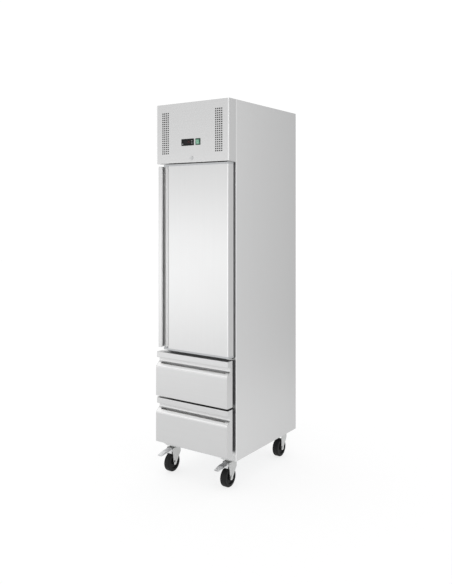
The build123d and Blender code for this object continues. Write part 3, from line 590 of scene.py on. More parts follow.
@dataclass(frozen=True)
class FinPack(Finish):
    """Aluminium fins with copper return bends beyond them."""

    name: str
    half_width: float
    pitch: float = 0.0021

    def lay(self, bench: FinishBench) -> None:
        """Lays thin fins by the place across the pack, with painted shade in the gaps between them, and
        copper at its ends.

        Args:
            bench: Bench of the new material.
        """
        across = bench.along(Axis.X)
        wave = (across * (1.0 / self.pitch)).reckon("FRACT", 0.0).reckon("PINGPONG", 0.5)
        fins = bench.ramp(wave, 0.1, 0.4)
        dust = bench.noise(40.0, 4.0, 0.6)
        ends = across.reckon("ABSOLUTE", 0.0).over(self.half_width)
        # The dark stripes between the fins are painted shade in the gaps.
        metal = bench.blend(fins, (0.3, 0.31, 0.32), (0.72, 0.73, 0.74))
        copper = bench.blend(dust, (0.62, 0.3, 0.17), (0.8, 0.43, 0.26))
        bench.feed(
            colour=bench.blend(ends, metal, copper),
            roughness=0.34 + dust * 0.2,
        )
        bench.relief(fins * (1.0 - ends), 0.4, 0.0006)
        bench.steady(metallic=1.0)


@dataclass(frozen=True)
class Copper(Finish):
    """Drawn copper tube, browned in patches."""

    name: str = "drawn_copper"
    colour: Colour = (0.78, 0.4, 0.24)

    def lay(self, bench: FinishBench) -> None:
        """Lays brown patches over bright metal.

        Args:
            bench: Bench of the new material.
        """
        patch = bench.ramp(bench.noise(55.0, 5.0, 0.65), 0.35, 0.75)
        bench.feed(
            colour=bench.blend(patch, self.colour, shade(self.colour, 0.5)),
            roughness=0.24 + patch * 0.3,
        )
        bench.relief(patch, 0.08, 0.0003)
        bench.steady(metallic=1.0)


@dataclass(frozen=True)
class TintedWindow(Finish):
    """Dark glossy window over a display."""

    name: str = "dark_window"
    colour: Colour = (0.006, 0.005, 0.006)

    def lay(self, bench: FinishBench) -> None:
        """Lays finger smears on a glossy dark pane.

        Args:
            bench: Bench of the new material.
        """
        smear = bench.noise((240.0, 240.0, 120.0), 4.0, 0.6)
        bench.feed(
            colour=bench.blend(smear, self.colour, shade(self.colour, 1.8)),
            roughness=0.07 + bench.ramp(smear, 0.45, 0.75) * 0.14,
        )
        bench.relief(smear, 0.01, 0.0001)
        bench.steady(specular=0.2)


@dataclass(frozen=True)
class Lit(Finish):
    """Glowing or once-lit plastic, such as a display bar or the lamp's diffuser."""

    name: str
    colour: Colour
    light: Colour
    strength: float

    def lay(self, bench: FinishBench) -> None:
        """Lays a soft uneven glow in milky plastic.

        Args:
            bench: Bench of the new material.
        """
        cloud = bench.noise(300.0, 3.0, 0.6)
        bench.feed(
            colour=bench.blend(cloud, shade(self.colour, 0.9), shade(self.colour, 1.1)),
            glow=bench.blend(cloud, shade(self.light, 0.8), self.light),
            roughness=0.34 + cloud * 0.12,
        )
        bench.relief(cloud, 0.05, 0.0002)
        bench.steady(glow=self.strength)


SKY_FALL = (-0.25, 0.45)


@dataclass(frozen=True)
class StudioPaper(Finish):
    """Pale paper floor on a light table, which leaves next to no shadow."""

    name: str = "studio_floor"
    colour: Colour = (0.26, 0.26, 0.26)
    glow: float = 0.76
    outward: tuple[float, float] = (0.962, 0.274)
    fades_from: float = 1.25
    fades_until: float = 2.4
    faded: Colour = (0.72, 0.72, 0.72)

    def lay(self, bench: FinishBench) -> None:
        """Lays faint fibre in the paper, which greys away from the photograph's view.

        Args:
            bench: Bench of the new material.
        """
        fibre = bench.noise(30.0, 3.0)
        lit = bench.blend(fibre, (0.99, 0.99, 0.99), (1.0, 1.0, 1.0))
        across, deep = bench.along(Axis.X), bench.along(Axis.Y)
        way = across / ((across * across + deep * deep) ** 0.5 + 0.001)
        out = across * self.outward[0] + deep * self.outward[1]
        away = bench.ramp(way, *SKY_FALL) * bench.ramp(out, self.fades_from, self.fades_until)
        bench.feed(colour=bench.blend(fibre, shade(self.colour, 0.985), shade(self.colour, 1.01)),
                   glow=bench.blend(away, lit, self.faded))
        bench.steady(roughness=0.9, specular=0.1, glow=self.glow)


CASE_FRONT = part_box("side_panel_right")[0].y
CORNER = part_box("head_panel")[1].x
FRONT_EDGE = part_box("door_skin")[1].x
HEAD_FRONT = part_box("head_panel")[0].y

SKIN_DEEP = 0.0015
PULL_DEEP = 0.06
# Painted light on the door pull's floor: offsets from the handle's left end, and tones.
PULL_LIGHT_STEPS = ((0.0245, 0.031, 0.98), (0.031, 0.037, 0.82), (0.037, 0.077, 0.68))
# Painted light on the slope below each drawer's slot.
SLOPE_FALL = (0.077, 0.06)
SLOPE_DEEP = 0.032
SLOPE_SIDE = 0.002
SLOPE_LIGHT_TONE = 0.92
# Painted shade on the drawer flanges on both sides of the gap between the drawers.
GAP_START = 0.004
GAP_OVERLAP = 0.0002
GAP_SHADE_TONE = 0.2
VENT_INSET = 0.0636
VENT_LEVEL = 0.1625
VENT_HALF = (0.0228, 0.1118)
# Painted shade on the walls of the vent holes: depth into the sheet, and tone.
HOLE_DEEP = (0.00015, 0.0025)
HOLE_SHADE_TONE = 0.02


def door_pull_light_rooms() -> tuple[Room, ...]:
    """Painted light on the floor and the slope of the door's pull, behind its lip, in three steps that are
    lightest next to the lip.

    Returns:
        The rooms, for a sheet's finish.
    """
    low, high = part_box("door_handle")
    rooms = []
    for start, end, tone in PULL_LIGHT_STEPS:
        near = (low.x + start, low.y + SKIN_DEEP, low.z)
        far = (low.x + end, low.y + PULL_DEEP, high.z)
        rooms.append(Room(near, far, grey(tone)))
    return tuple(rooms)


def drawer_light_and_shade_rooms(front: str) -> tuple[Room, ...]:
    """Painted light on the slope below a drawer's slot, and painted shade on the flanges on both sides of the
    gap between the drawers.

    Args:
        front: Node of the drawer's front.

    Returns:
        The rooms, for a sheet's finish.
    """
    low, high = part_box(front)
    near = (low.x + SLOPE_SIDE, low.y + SKIN_DEEP, high.z - SLOPE_FALL[0])
    far = (high.x - SLOPE_SIDE, low.y + SLOPE_DEEP, high.z - SLOPE_FALL[1])
    bottom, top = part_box("lower_drawer_front")[1].z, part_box("upper_drawer_front")[0].z
    gap_near = (low.x, low.y + GAP_START, bottom - GAP_OVERLAP)
    gap_far = (high.x, high.y, top + GAP_OVERLAP)
    return Room(near, far, grey(SLOPE_LIGHT_TONE)), Room(gap_near, gap_far, grey(GAP_SHADE_TONE))


def vent_shade_rooms() -> tuple[Room, ...]:
    """Painted shade on the walls of the holes in both vent fields.

    Returns:
        The rooms, for a sheet's finish.
    """
    low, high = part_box("head_panel")
    across, level = high.x - VENT_INSET, low.z + VENT_LEVEL
    wide, tall = VENT_HALF
    rooms = []
    for middle_x in (-across, across):
        near = (middle_x - wide, low.y + HOLE_DEEP[0], level - tall)
        far = (middle_x + wide, low.y + HOLE_DEEP[1], level + tall)
        rooms.append(Room(near, far, grey(HOLE_SHADE_TONE)))
    return tuple(rooms)


# The head and door sheets carry a painted highlight along their upright front bends.
HEAD_SHEET = BrushedSheet("head_brushed_sheet", Grain.LEVEL, bend=Bend(CORNER, HEAD_FRONT, 0.008, 0.0025),
                          rooms=vent_shade_rooms())
DOOR_SHEET = BrushedSheet("door_brushed_sheet", Grain.UPRIGHT,
                          bend=Bend(FRONT_EDGE, HEAD_FRONT, 0.006, 0.0025))
PULL_SHEET = BrushedSheet("pull_brushed_sheet", Grain.UPRIGHT, rooms=door_pull_light_rooms())
LEVEL_SHEET = BrushedSheet("level_brushed_sheet", Grain.LEVEL)
TOP_SHEET = BrushedSheet("top_brushed_sheet", Grain.UPRIGHT)
# The slot channel's sheet is lighter than the front's, as painted light inside the slot.
SLOT_SHEET = BrushedSheet("slot_brushed_sheet", Grain.LEVEL, (0.66, 0.66, 0.66), 0.42)
# The side sheet is lighter than the front sheets as painted light on the side; it also carries painted shade
# towards the back and a painted highlight along its front bend.
SIDE_SHEET = BrushedSheet("side_brushed_sheet", Grain.UPRIGHT, (0.67, 0.671, 0.672), 0.38,
                          bend=Bend(CORNER, CASE_FRONT, 0.003, 0.009), rear_shade=0.86)
LINER_SHEET = BrushedSheet("liner_brushed_sheet", Grain.LEVEL, (0.66, 0.665, 0.67), 0.4)
WIRE_STEEL = PlatedSteel("polished_wire", (0.7, 0.71, 0.715), 0.18, 0.04)
ZINC_SHEET = Galvanised()
PLATED = PlatedSteel()
FOAM = Foam()
SEAL_RUBBER = Rubber("seal_rubber", (0.035, 0.036, 0.04))
TYRE = Rubber("wheel_tread", (0.006, 0.006, 0.0065), 0.5, 0.2)
PAD_STEEL = PlatedSteel("pressed_pedal_ribs", (0.78, 0.785, 0.79), 0.34, 0.1)
CAP_GREY = Moulding("grey_end_cap", (0.42, 0.43, 0.44))
MULLION_GREY = Moulding("grey_mullion", (0.36, 0.365, 0.37), 0.46)
LINER_WHITE = Moulding("white_liner", (0.8, 0.81, 0.81), 0.34, 0.06, coat=0.2)
BLACK_MOULDING = Moulding("black_moulding", (0.018, 0.018, 0.02), 0.4)
CASE_BLACK = Moulding("controller_black", (0.005, 0.005, 0.0055), 0.34, 0.08, specular=0.16)
# Near black as painted shade behind the vent holes.
DUST_SCREEN = Moulding("dust_screen", (0.003, 0.003, 0.003), 0.7, 0.4, 2600.0, specular=0.1)
MARK_WHITE = Moulding("printed_mark", (0.75, 0.76, 0.76), 0.4, 0.05)
BEZEL_GREEN = Moulding("dark_green_bezel", (0.012, 0.05, 0.032), 0.36)
ROCKER_GREEN = Moulding("green_rocker", (0.12, 0.33, 0.21), 0.32, 0.08, coat=0.3)
KEY_GREY = Moulding("grey_key", (0.09, 0.09, 0.095), 0.5)
BOX_IVORY = Moulding("ivory_box", (0.7, 0.69, 0.64), 0.5)
CHROME = Plating()
LOCK_SATIN = PlatedSteel("satin_lock", (0.58, 0.585, 0.59), 0.34, 0.05)
BRIGHT_PLATING = PlatedSteel("bright_collar", (0.86, 0.865, 0.86), 0.2, 0.06)
PEDAL_STEEL = PlatedSteel("handled_pedal", (0.68, 0.685, 0.69), 0.3, 0.2)
FIGURE_RED = Lit("lit_figure", (0.1, 0.012, 0.012), (0.4, 0.03, 0.025), 0.6)
ENAMEL = Enamel()
COPPER = Copper()
WINDOW = TintedWindow()


# Modelling aids


def rest() -> None:
    """Leaves edit mode and clears the selection."""
    if bpy.context.object and bpy.context.object.mode != "OBJECT":
        bpy.ops.object.mode_set(mode="OBJECT")
    bpy.ops.object.select_all(action="DESELECT")


Wanted = Callable[[Vector, Vector], bool]


def about(point: Vector, turn: Matrix) -> Matrix:
    """A turn about a point."""
    return Matrix.Translation(point) @ turn @ Matrix.Translation(-point)


class Workpiece:
    """One new piece, shaped with Blender's own tools and then fixed to its body."""

    def __init__(self, name: str) -> None:
        """Takes the object that was just added.

        Args:
            name: Name of the piece and of its mesh.
        """
        self.item = bpy.context.active_object
        self.item.name = name
        self.item.data.name = name
        bpy.ops.object.transform_apply(location=True, rotation=True, scale=True)

    @classmethod
    def block(cls, name: str, low: Sequence[float], high: Sequence[float]) -> "Workpiece":
        """A block between two corners.

        Args:
            name: Name of the piece.
            low: Lowest corner.
            high: Highest corner.

        Returns:
            The new workpiece.
        """
        rest()
        low, high = Vector(low), Vector(high)
        bpy.ops.mesh.primitive_cube_add(size=1.0, location=(low + high) / 2)
        bpy.context.active_object.scale = high - low
        return cls(name)

    @classmethod
    def bar(cls, name: str, start: Sequence[float], end: Sequence[float], radius: float,
            sides: int = 24) -> "Workpiece":
        """A round or many-sided bar between two points.

        Args:
            name: Name of the piece.
            start: Middle of one end.
            end: Middle of the other end.
            radius: Distance from the axis to the corners.
            sides: How many sides it has.

        Returns:
            The new workpiece.
        """
        rest()
        start, end = Vector(start), Vector(end)
        run = end - start
        turn = Vector((0.0, 0.0, 1.0)).rotation_difference(run).to_euler()
        bpy.ops.mesh.primitive_cylinder_add(vertices=sides, radius=radius, depth=run.length,
                                            location=(start + end) / 2, rotation=turn)
        return cls(name)

    @classmethod
    def ring(cls, name: str, centre: Point, axis: Axis, radius: float, wire: float,
             turns: int = 48, sides: int = 8) -> "Workpiece":
        """A round wire ring about an axis.

        Args:
            name: Name of the piece.
            centre: Middle of the ring.
            axis: Axis that it goes round.
            radius: From the axis to the middle of the wire.
            wire: Radius of the wire.
            turns: Steps round the axis.
            sides: Steps round the wire.

        Returns:
            The new workpiece.
        """
        rest()
        lean = {Axis.X: (0.0, math.pi / 2, 0.0), Axis.Y: (math.pi / 2, 0.0, 0.0), Axis.Z: (0.0, 0.0, 0.0)}
        bpy.ops.mesh.primitive_torus_add(location=centre, rotation=lean[axis], major_radius=radius,
                                         minor_radius=wire, major_segments=turns, minor_segments=sides)
        return cls(name)

    @classmethod
    def sheet(cls, name: str, low: Vector, high: Vector, turn: float) -> "Workpiece":
        """A flat rectangle between two corners, upright across the cabinet or lying where turn is nought.

        Args:
            name: Name of the piece.
            low: Lowest corner.
            high: Highest corner.
            turn: Turn about X, nought to leave it lying.

        Returns:
            The new workpiece.
        """
        rest()
        bpy.ops.mesh.primitive_plane_add(size=1.0, location=(low + high) / 2, rotation=(turn, 0.0, 0.0))
        size = high - low
        bpy.context.active_object.scale = (size.x, size.z if turn else size.y, 1.0)
        return cls(name)

    @classmethod
    def frame(cls, name: str, low: Vector, high: Vector, out: float,
              steps: Sequence[tuple[float, float]]) -> "Workpiece":
        """A closed ring round an upright rectangle.

        Args:
            name: Name of the piece.
            low: Lowest corner; the ring stands on its Y for out above nought.
            high: Highest corner; the ring stands on its Y otherwise.
            out: One to face back, minus one to face the front.
            steps: The section, as pairs of a step inward and a rise, from the outer edge.

        Returns:
            The ring.
        """
        base = low.y if out > 0 else high.y
        near, far = Vector((low.x, base, low.z)), Vector((high.x, base, high.z))
        return cls.sheet(name, near, far, -out * math.pi / 2).stepped(steps)

    @classmethod
    def tray_frame(cls, name: str, low: Vector, high: Vector,
                   steps: Sequence[tuple[float, float]]) -> "Workpiece":
        """A closed ring round a lying rectangle, its section drawn upward from the lower corner."""
        far = Vector((high.x, high.y, low.z))
        return cls.sheet(name, low, far, 0.0).stepped(steps)

    def stepped(self, steps: Sequence[tuple[float, float]]) -> "Workpiece":
        """Insets the one face step by step, opens its middle and closes the section behind.

        Args:
            steps: Pairs of a step inward and a rise, from the outer edge.

        Returns:
            This workpiece, to go on with.
        """
        self.pick(lambda middle, normal: True)
        for width, rise in steps:
            bpy.ops.mesh.inset(thickness=width, depth=rise)
        bpy.ops.mesh.delete(type="FACE")
        bpy.ops.mesh.select_mode(type="EDGE")
        bpy.ops.mesh.select_all(action="DESELECT")
        bpy.ops.mesh.select_non_manifold()
        bpy.ops.mesh.bridge_edge_loops()
        return self

    def pick(self, wanted: Wanted) -> "Workpiece":
        """Selects in edit mode the faces whose middle and normal are wanted.

        Args:
            wanted: Says of a face's middle and normal whether it is selected.

        Returns:
            This workpiece, to go on with.
        """
        bpy.context.view_layer.objects.active = self.item
        bpy.ops.object.mode_set(mode="EDIT")
        bpy.ops.mesh.select_mode(type="FACE")
        bpy.ops.mesh.select_all(action="DESELECT")
        mesh = bmesh.from_edit_mesh(self.item.data)
        for face in mesh.faces:
            face.select_set(wanted(face.calc_center_median(), face.normal))
        mesh.select_flush_mode()
        bmesh.update_edit_mesh(self.item.data)
        return self

    def facing(self, direction: Sequence[float]) -> "Workpiece":
        """Selects the faces that look one way."""
        way = Vector(direction)
        return self.pick(lambda middle, normal: normal.dot(way) > 0.999)

    def inset(self, width: float, depth: float = 0.0) -> "Workpiece":
        """Insets the selected faces, and sinks them by depth where it is below nought."""
        bpy.ops.mesh.inset(thickness=width, depth=depth)
        return self

    def pull(self, offset: Sequence[float]) -> "Workpiece":
        """Extrudes the selected faces by an offset."""
        bpy.ops.mesh.extrude_region_move(TRANSFORM_OT_translate={"value": tuple(offset)})
        return self

    def shift(self, offset: Sequence[float]) -> "Workpiece":
        """Moves what is selected."""
        bpy.ops.transform.translate(value=tuple(offset))
        return self

    def swell(self, factor: Sequence[float], centre: Sequence[float]) -> "Workpiece":
        """Scales what is selected about a centre."""
        bpy.ops.transform.resize(value=tuple(factor), center_override=tuple(centre))
        return self

    def spin_round(self, centre: Vector, angle: float) -> "Workpiece":
        """Turns the whole piece about an axis along Y.

        Args:
            centre: A point of the axis.
            angle: Turn, in radians.

        Returns:
            This workpiece, to go on with.
        """
        rest()
        self.item.data.transform(about(centre, Matrix.Rotation(angle, 4, "Y")))
        return self

    def less(self, cutter: "Workpiece") -> "Workpiece":
        """Cuts another workpiece out of this one.

        Args:
            cutter: What is cut out; it is used up.

        Returns:
            This workpiece, to go on with.
        """
        self.modify("BOOLEAN", operation="DIFFERENCE", object=cutter.item, solver="EXACT")
        bpy.data.objects.remove(cutter.item)
        return self

    def modify(self, kind: str, **settings: object) -> "Workpiece":
        """Adds one modifier and applies it.

        Args:
            kind: Blender's name for the modifier.
            **settings: Its properties.

        Returns:
            This workpiece, to go on with.
        """
        rest()
        bpy.context.view_layer.objects.active = self.item
        self.item.select_set(True)
        bpy.ops.object.modifier_add(type=kind)
        modifier = self.item.modifiers[-1]
        for name, value in settings.items():
            setattr(modifier, name, value)
        bpy.ops.object.modifier_apply(modifier=modifier.name)
        return self

    def soften(self, width: float, segments: int = 2) -> "Workpiece":
        """Rounds the sharp edges."""
        return self.modify("BEVEL", width=width, segments=segments, limit_method="ANGLE",
                           angle_limit=math.radians(35))

    def moved(self, name: str, matrix: Matrix) -> "Workpiece":
        """A copy with its own mesh, moved by a matrix.

        Args:
            name: Name of the copy.
            matrix: How it is moved; a mirrored copy is turned right side out.

        Returns:
            The copy.
        """
        rest()
        twin = self.item.copy()
        twin.data = self.item.data.copy()
        bpy.context.collection.objects.link(twin)
        twin.data.transform(matrix)
        if matrix.determinant() < 0:
            twin.data.flip_normals()
        bpy.context.view_layer.objects.active = twin
        twin.select_set(True)
        return Workpiece(name)

    def with_others(self, others: Iterable["Workpiece"]) -> "Workpiece":
        """Joins other workpieces into this one.

        Args:
            others: What is joined in.

        Returns:
            This workpiece, to go on with.
        """
        rest()
        for other in others:
            other.item.select_set(True)
        self.item.select_set(True)
        bpy.context.view_layer.objects.active = self.item
        bpy.ops.object.join()
        return self

    def fix(self, body: str, slot: str, finish: Finish, smooth: float = 35.0) -> bpy.types.Object:
        """Faces it outward, smooths it, finishes it and lets it ride on its body.

        Args:
            body: The body of the frame that carries it.
            slot: A material slot's name; not used.
            finish: What it is finished with.
            smooth: Edges flatter than this many degrees are shaded round.

        Returns:
            The finished object.
        """
        rest()
        bpy.context.view_layer.objects.active = self.item
        self.item.select_set(True)
        bpy.ops.object.mode_set(mode="EDIT")
        bpy.ops.mesh.select_all(action="SELECT")
        bpy.ops.mesh.normals_make_consistent(inside=False)
        bpy.ops.object.mode_set(mode="OBJECT")
        bpy.ops.object.shade_smooth_by_angle(angle=math.radians(smooth))
        self.item.data.materials.clear()
        self.item.data.materials.append(finish.material())
        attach(self.item, body)
        rest()
        log.info("%s rides on %s, %d faces", self.item.name, body, len(self.item.data.polygons))
        return self.item


def dress(finish: Finish, *nodes: str) -> None:
    """Gives nodes of the frame their finish.

    Args:
        finish: What they are finished with.
        *nodes: Names of the nodes.
    """
    for name in nodes:
        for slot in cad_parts[name].material_slots:
            slot.material = finish.material()
        log.info("%s is finished in %s", name, finish.name)


def middle(node: str) -> Vector:
    """Middle of a node's box."""
    low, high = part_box(node)
    return (low + high) / 2


def front_middle(node: str) -> Vector:
    """Middle of the front of a node's box."""
    low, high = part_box(node)
    return Vector(((low.x + high.x) / 2, low.y, (low.z + high.z) / 2))


# Small fittings


@dataclass(frozen=True)
class HexBolt:
    """Hexagon bolt head on a washer."""

    across: float = 0.010
    head: float = 0.0032
    washer: float = 0.0068
    washer_thick: float = 0.001

    def build(self, name: str, seat: Sequence[float], out: Sequence[float]) -> Workpiece:
        """Builds it.

        Args:
            name: Name of the piece.
            seat: Where the washer lies.
            out: Unit direction that the head looks.

        Returns:
            The joined bolt and washer.
        """
        seat, way = Vector(seat), Vector(out)
        washer = Workpiece.bar(name + "_washer", seat, seat + way * self.washer_thick, self.washer, 24)
        washer.soften(0.0003, 1)
        base = seat + way * self.washer_thick
        head = Workpiece.bar(name, base, base + way * self.head, self.across / 2 / math.cos(math.pi / 6), 6)
        head.facing(way).inset(self.across * 0.08)
        head.shift(way * self.head * 0.12)
        head.inset(self.across * 0.14, -self.head * 0.12)
        return head.with_others([washer])


@dataclass(frozen=True)
class CrossScrew:
    """Low screw head with a cross recess."""

    radius: float = 0.0036
    proud: float = 0.0012
    sunk: float = 0.001

    def build(self, name: str, seat: Sequence[float], out: Sequence[float]) -> Workpiece:
        """Builds it.

        Args:
            name: Name of the piece.
            seat: Where the sheet's surface is.
            out: Unit direction that the head looks.

        Returns:
            The screw, its cross sunk into its face.
        """
        seat, way = Vector(seat), Vector(out)
        screw = Workpiece.bar(name, seat - way * self.sunk, seat + way * self.proud, self.radius, 16)
        screw.facing(way).inset(self.radius * 0.2, self.proud * 0.1)
        base, tip = seat + way * (self.proud * 0.2), seat + way * (self.proud + 0.002)
        cut = Workpiece.bar(name + "_recess", base, tip, self.radius * 0.34, 4)
        screw.less(cut)
        return screw


@dataclass(frozen=True)
class WireGuard:
    """Rings of wire on four arms in front of a fan."""

    radius: float
    rings: int = 6
    wire: float = 0.0012
    arms: int = 4

    def build(self, name: str, centre: Sequence[float], lift: float) -> Workpiece:
        """Builds it, facing along Y.

        Args:
            name: Name of the piece.
            centre: Middle of the guard.
            lift: How far the arms lie from the rings, along Y.

        Returns:
            The joined guard.
        """
        centre = Vector(centre)
        parts = []
        for number in range(self.rings):
            reach = self.radius * (0.22 + 0.78 * number / (self.rings - 1))
            parts.append(Workpiece.ring(f"{name}_{number}", centre, Axis.Y, reach, self.wire, 44, 6))
        plane = centre + Vector((0.0, lift, 0.0))
        start = plane + Vector((self.radius * 0.16, 0.0, 0.0))
        arm = Workpiece.bar(name, start, plane + Vector((self.radius * 1.04, 0.0, 0.0)), self.wire * 1.2, 8)
        arm.soften(self.wire * 0.4, 1)
        for number in range(1, self.arms):
            turn = Matrix.Rotation(2 * math.pi * number / self.arms, 4, "Y")
            parts.append(arm.moved(f"{name}_arm_{number}", about(plane, turn)))
        half = Vector((0.0, 0.001, 0.0))
        hub = Workpiece.bar(name + "_hub", plane + half, plane - half, self.radius * 0.2, 24)
        hub.facing(FRONT).inset(self.radius * 0.05, 0.0006)
        return arm.with_others(parts + [hub])


def row(first: Sequence[float], last: Sequence[float], count: int) -> list[Vector]:
    """Evenly spaced places between two points, both counted."""
    first, last = Vector(first), Vector(last)
    return [first.lerp(last, i / (count - 1)) for i in range(count)]


def repeat(first: Workpiece, start: Vector, places: Iterable[Vector]) -> Workpiece:
    """Copies a piece to other places and joins the lot."""
    return first.with_others([first.moved("copy", Matrix.Translation(p - start)) for p in places])


def spread(fitting: "HexBolt | CrossScrew", name: str, places: Sequence[Vector], out: Point) -> Workpiece:
    """Builds the same fitting at several places and joins the lot."""
    return repeat(fitting.build(name, places[0], out), places[0], places[1:])


# Sub-assemblies


@dataclass
class Studio:
    """Pale floor, soft lights and the camera."""

    floor_half: float = 14.0
    camera_place: Point = (2.1527, -3.1422, 1.4383)
    camera_turn: float = 34.5
    lens: float = 41.27
    shift_y: float = -0.1404
    surround: float = 1.03
    right_share: float = 0.8

    def floor(self) -> None:
        """Lays the floor a hair under the wheels."""
        rest()
        bpy.ops.mesh.primitive_grid_add(x_subdivisions=8, y_subdivisions=8, size=2 * self.floor_half,
                                        location=(0.0, 0.0, 0.0))
        ground = Workpiece("floor").item
        ground.data.materials.append(StudioPaper().material())

    def softbox(self, name: str, place: Point, aim: Point, size: tuple[float, float], watts: float) -> None:
        """Hangs one soft light.

        Args:
            name: Name of the light.
            place: Where it hangs.
            aim: What it looks at.
            size: Its width and height.
            watts: Its power.
        """
        lamp = bpy.data.lights.new(name, "AREA")
        lamp.shape = "RECTANGLE"
        lamp.size, lamp.size_y = size
        lamp.energy = watts
        light = bpy.data.objects.new(name, lamp)
        bpy.context.collection.objects.link(light)
        light.location = place
        light.rotation_euler = (Vector(aim) - Vector(place)).to_track_quat("-Z", "Y").to_euler()

    def sky(self) -> None:
        """Surrounds the scene with white, a little greyer away to the right."""
        world = bpy.data.worlds.new("studio_surround")
        bpy.context.scene.world = world
        world.use_nodes = True
        bench = NodeBench(world.node_tree)
        backdrop = bench.tree.nodes["Background"]
        backdrop.inputs["Color"].default_value = (1.0, 1.0, 1.0, 1.0)
        way = bench.add("ShaderNodeTexCoord", {}, "Generated")
        across = bench.add("ShaderNodeSeparateXYZ", {"Vector": way})
        feeds = {"Value": across, "From Min": SKY_FALL[0], "From Max": SKY_FALL[1],
                 "To Min": self.surround, "To Max": self.surround * self.right_share}
        fall = bench.add("ShaderNodeMapRange", feeds, interpolation_type="SMOOTHSTEP")
        bench.tree.links.new(fall.socket, backdrop.inputs["Strength"])

    def camera(self) -> None:
        """Sets the camera at the photograph's viewing angle."""
        eye = bpy.data.cameras.new("camera")
        eye.lens = self.lens
        eye.sensor_width = 36.0
        eye.shift_y = self.shift_y
        holder = bpy.data.objects.new("camera", eye)
        bpy.context.collection.objects.link(holder)
        holder.location = self.camera_place
        holder.rotation_euler = (math.radians(90), 0.0, math.radians(self.camera_turn))
        bpy.context.scene.camera = holder

    def build(self) -> None:
        """Builds the whole studio."""
        bpy.context.scene.view_settings.view_transform = "Standard"
        self.floor()
        self.sky()
        self.softbox("left_softbox", (-3.2, -4.5, 0.68), (0.0, -0.3, 0.68), (3.4, 1.5), 17.0)
        self.softbox("right_softbox", (3.3, 1.9, 1.1), (0.2, -0.2, 1.1), (1.2, 4.4), 5.5)
        self.softbox("bend_softbox", (3.4, -5.0, 1.6), (0.2, -0.3, 1.1), (1.2, 2.6), 30.0)
        self.camera()
        log.info("studio set")


@dataclass
class Shell:
    """Outer case, its floor, back, top and the foam inside."""

    screw: CrossScrew = CrossScrew(proud=0.00008, sunk=0.0004)
    screw_seat: float = 0.00004
    back_inset: float = 0.012
    top_inset: float = 0.016
    row_end: float = 0.03
    flange: float = 0.0012
    rib_places: tuple[float, ...] = (-0.045, 0.15)
    rib_half: float = 0.205
    rib_width: float = 0.034
    rib_rise: float = 0.008

    def dress_sheets(self) -> None:
        """Finishes the sheets and the foam."""
        dress(SIDE_SHEET, "side_panel_left", "side_panel_right")
        dress(TOP_SHEET, "top_cover")
        dress(ZINC_SHEET, "rear_panel", "base_pan", "unit_deck", "fan_shroud")
        dress(FOAM, "cabinet_insulation")

    def back_screws(self) -> None:
        """Rows of flush screws down both edges of the back."""
        low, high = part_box("rear_panel")
        level = high.y - self.screw_seat
        places = []
        for x in (low.x + self.back_inset, high.x - self.back_inset):
            places += row((x, level, low.z + self.row_end), (x, level, high.z - self.row_end), 9)
        spread(self.screw, "rear_screws", places, BACK).fix("cabinet", "zinc_plated_steel", PLATED)

    def top_screws(self) -> None:
        """Flush screws along both long edges of the top."""
        low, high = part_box("top_cover")
        level = high.z - self.screw_seat
        places = []
        for x in (low.x + self.top_inset, high.x - self.top_inset):
            places += row((x, low.y + self.row_end, level), (x, high.y - self.row_end, level), 5)
        spread(self.screw, "top_screws", places, UP).fix("cabinet", "zinc_plated_steel", PLATED)

    def under_ribs(self) -> None:
        """Pressed stiffening ribs across the underside."""
        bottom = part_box("base_pan")[0].z
        start = Vector((0.0, self.rib_places[0], bottom))
        near = start - Vector((self.rib_half, self.rib_width / 2, self.flange))
        far = start + Vector((self.rib_half, self.rib_width / 2, 0.0))
        rib = Workpiece.block("under_ribs", near, far)
        rib.facing(DOWN).inset(0.009)
        rib.pull((0.0, 0.0, -self.rib_rise)).swell((0.985, 0.72, 1.0), start)
        rib.soften(0.0012, 2)
        others = [start + Vector((0.0, y - self.rib_places[0], 0.0)) for y in self.rib_places[1:]]
        repeat(rib, start, others).fix("cabinet", "galvanised_steel", ZINC_SHEET)

    def build(self) -> None:
        """Dresses the shell and adds its small parts."""
        self.dress_sheets()
        self.back_screws()
        self.top_screws()
        self.under_ribs()


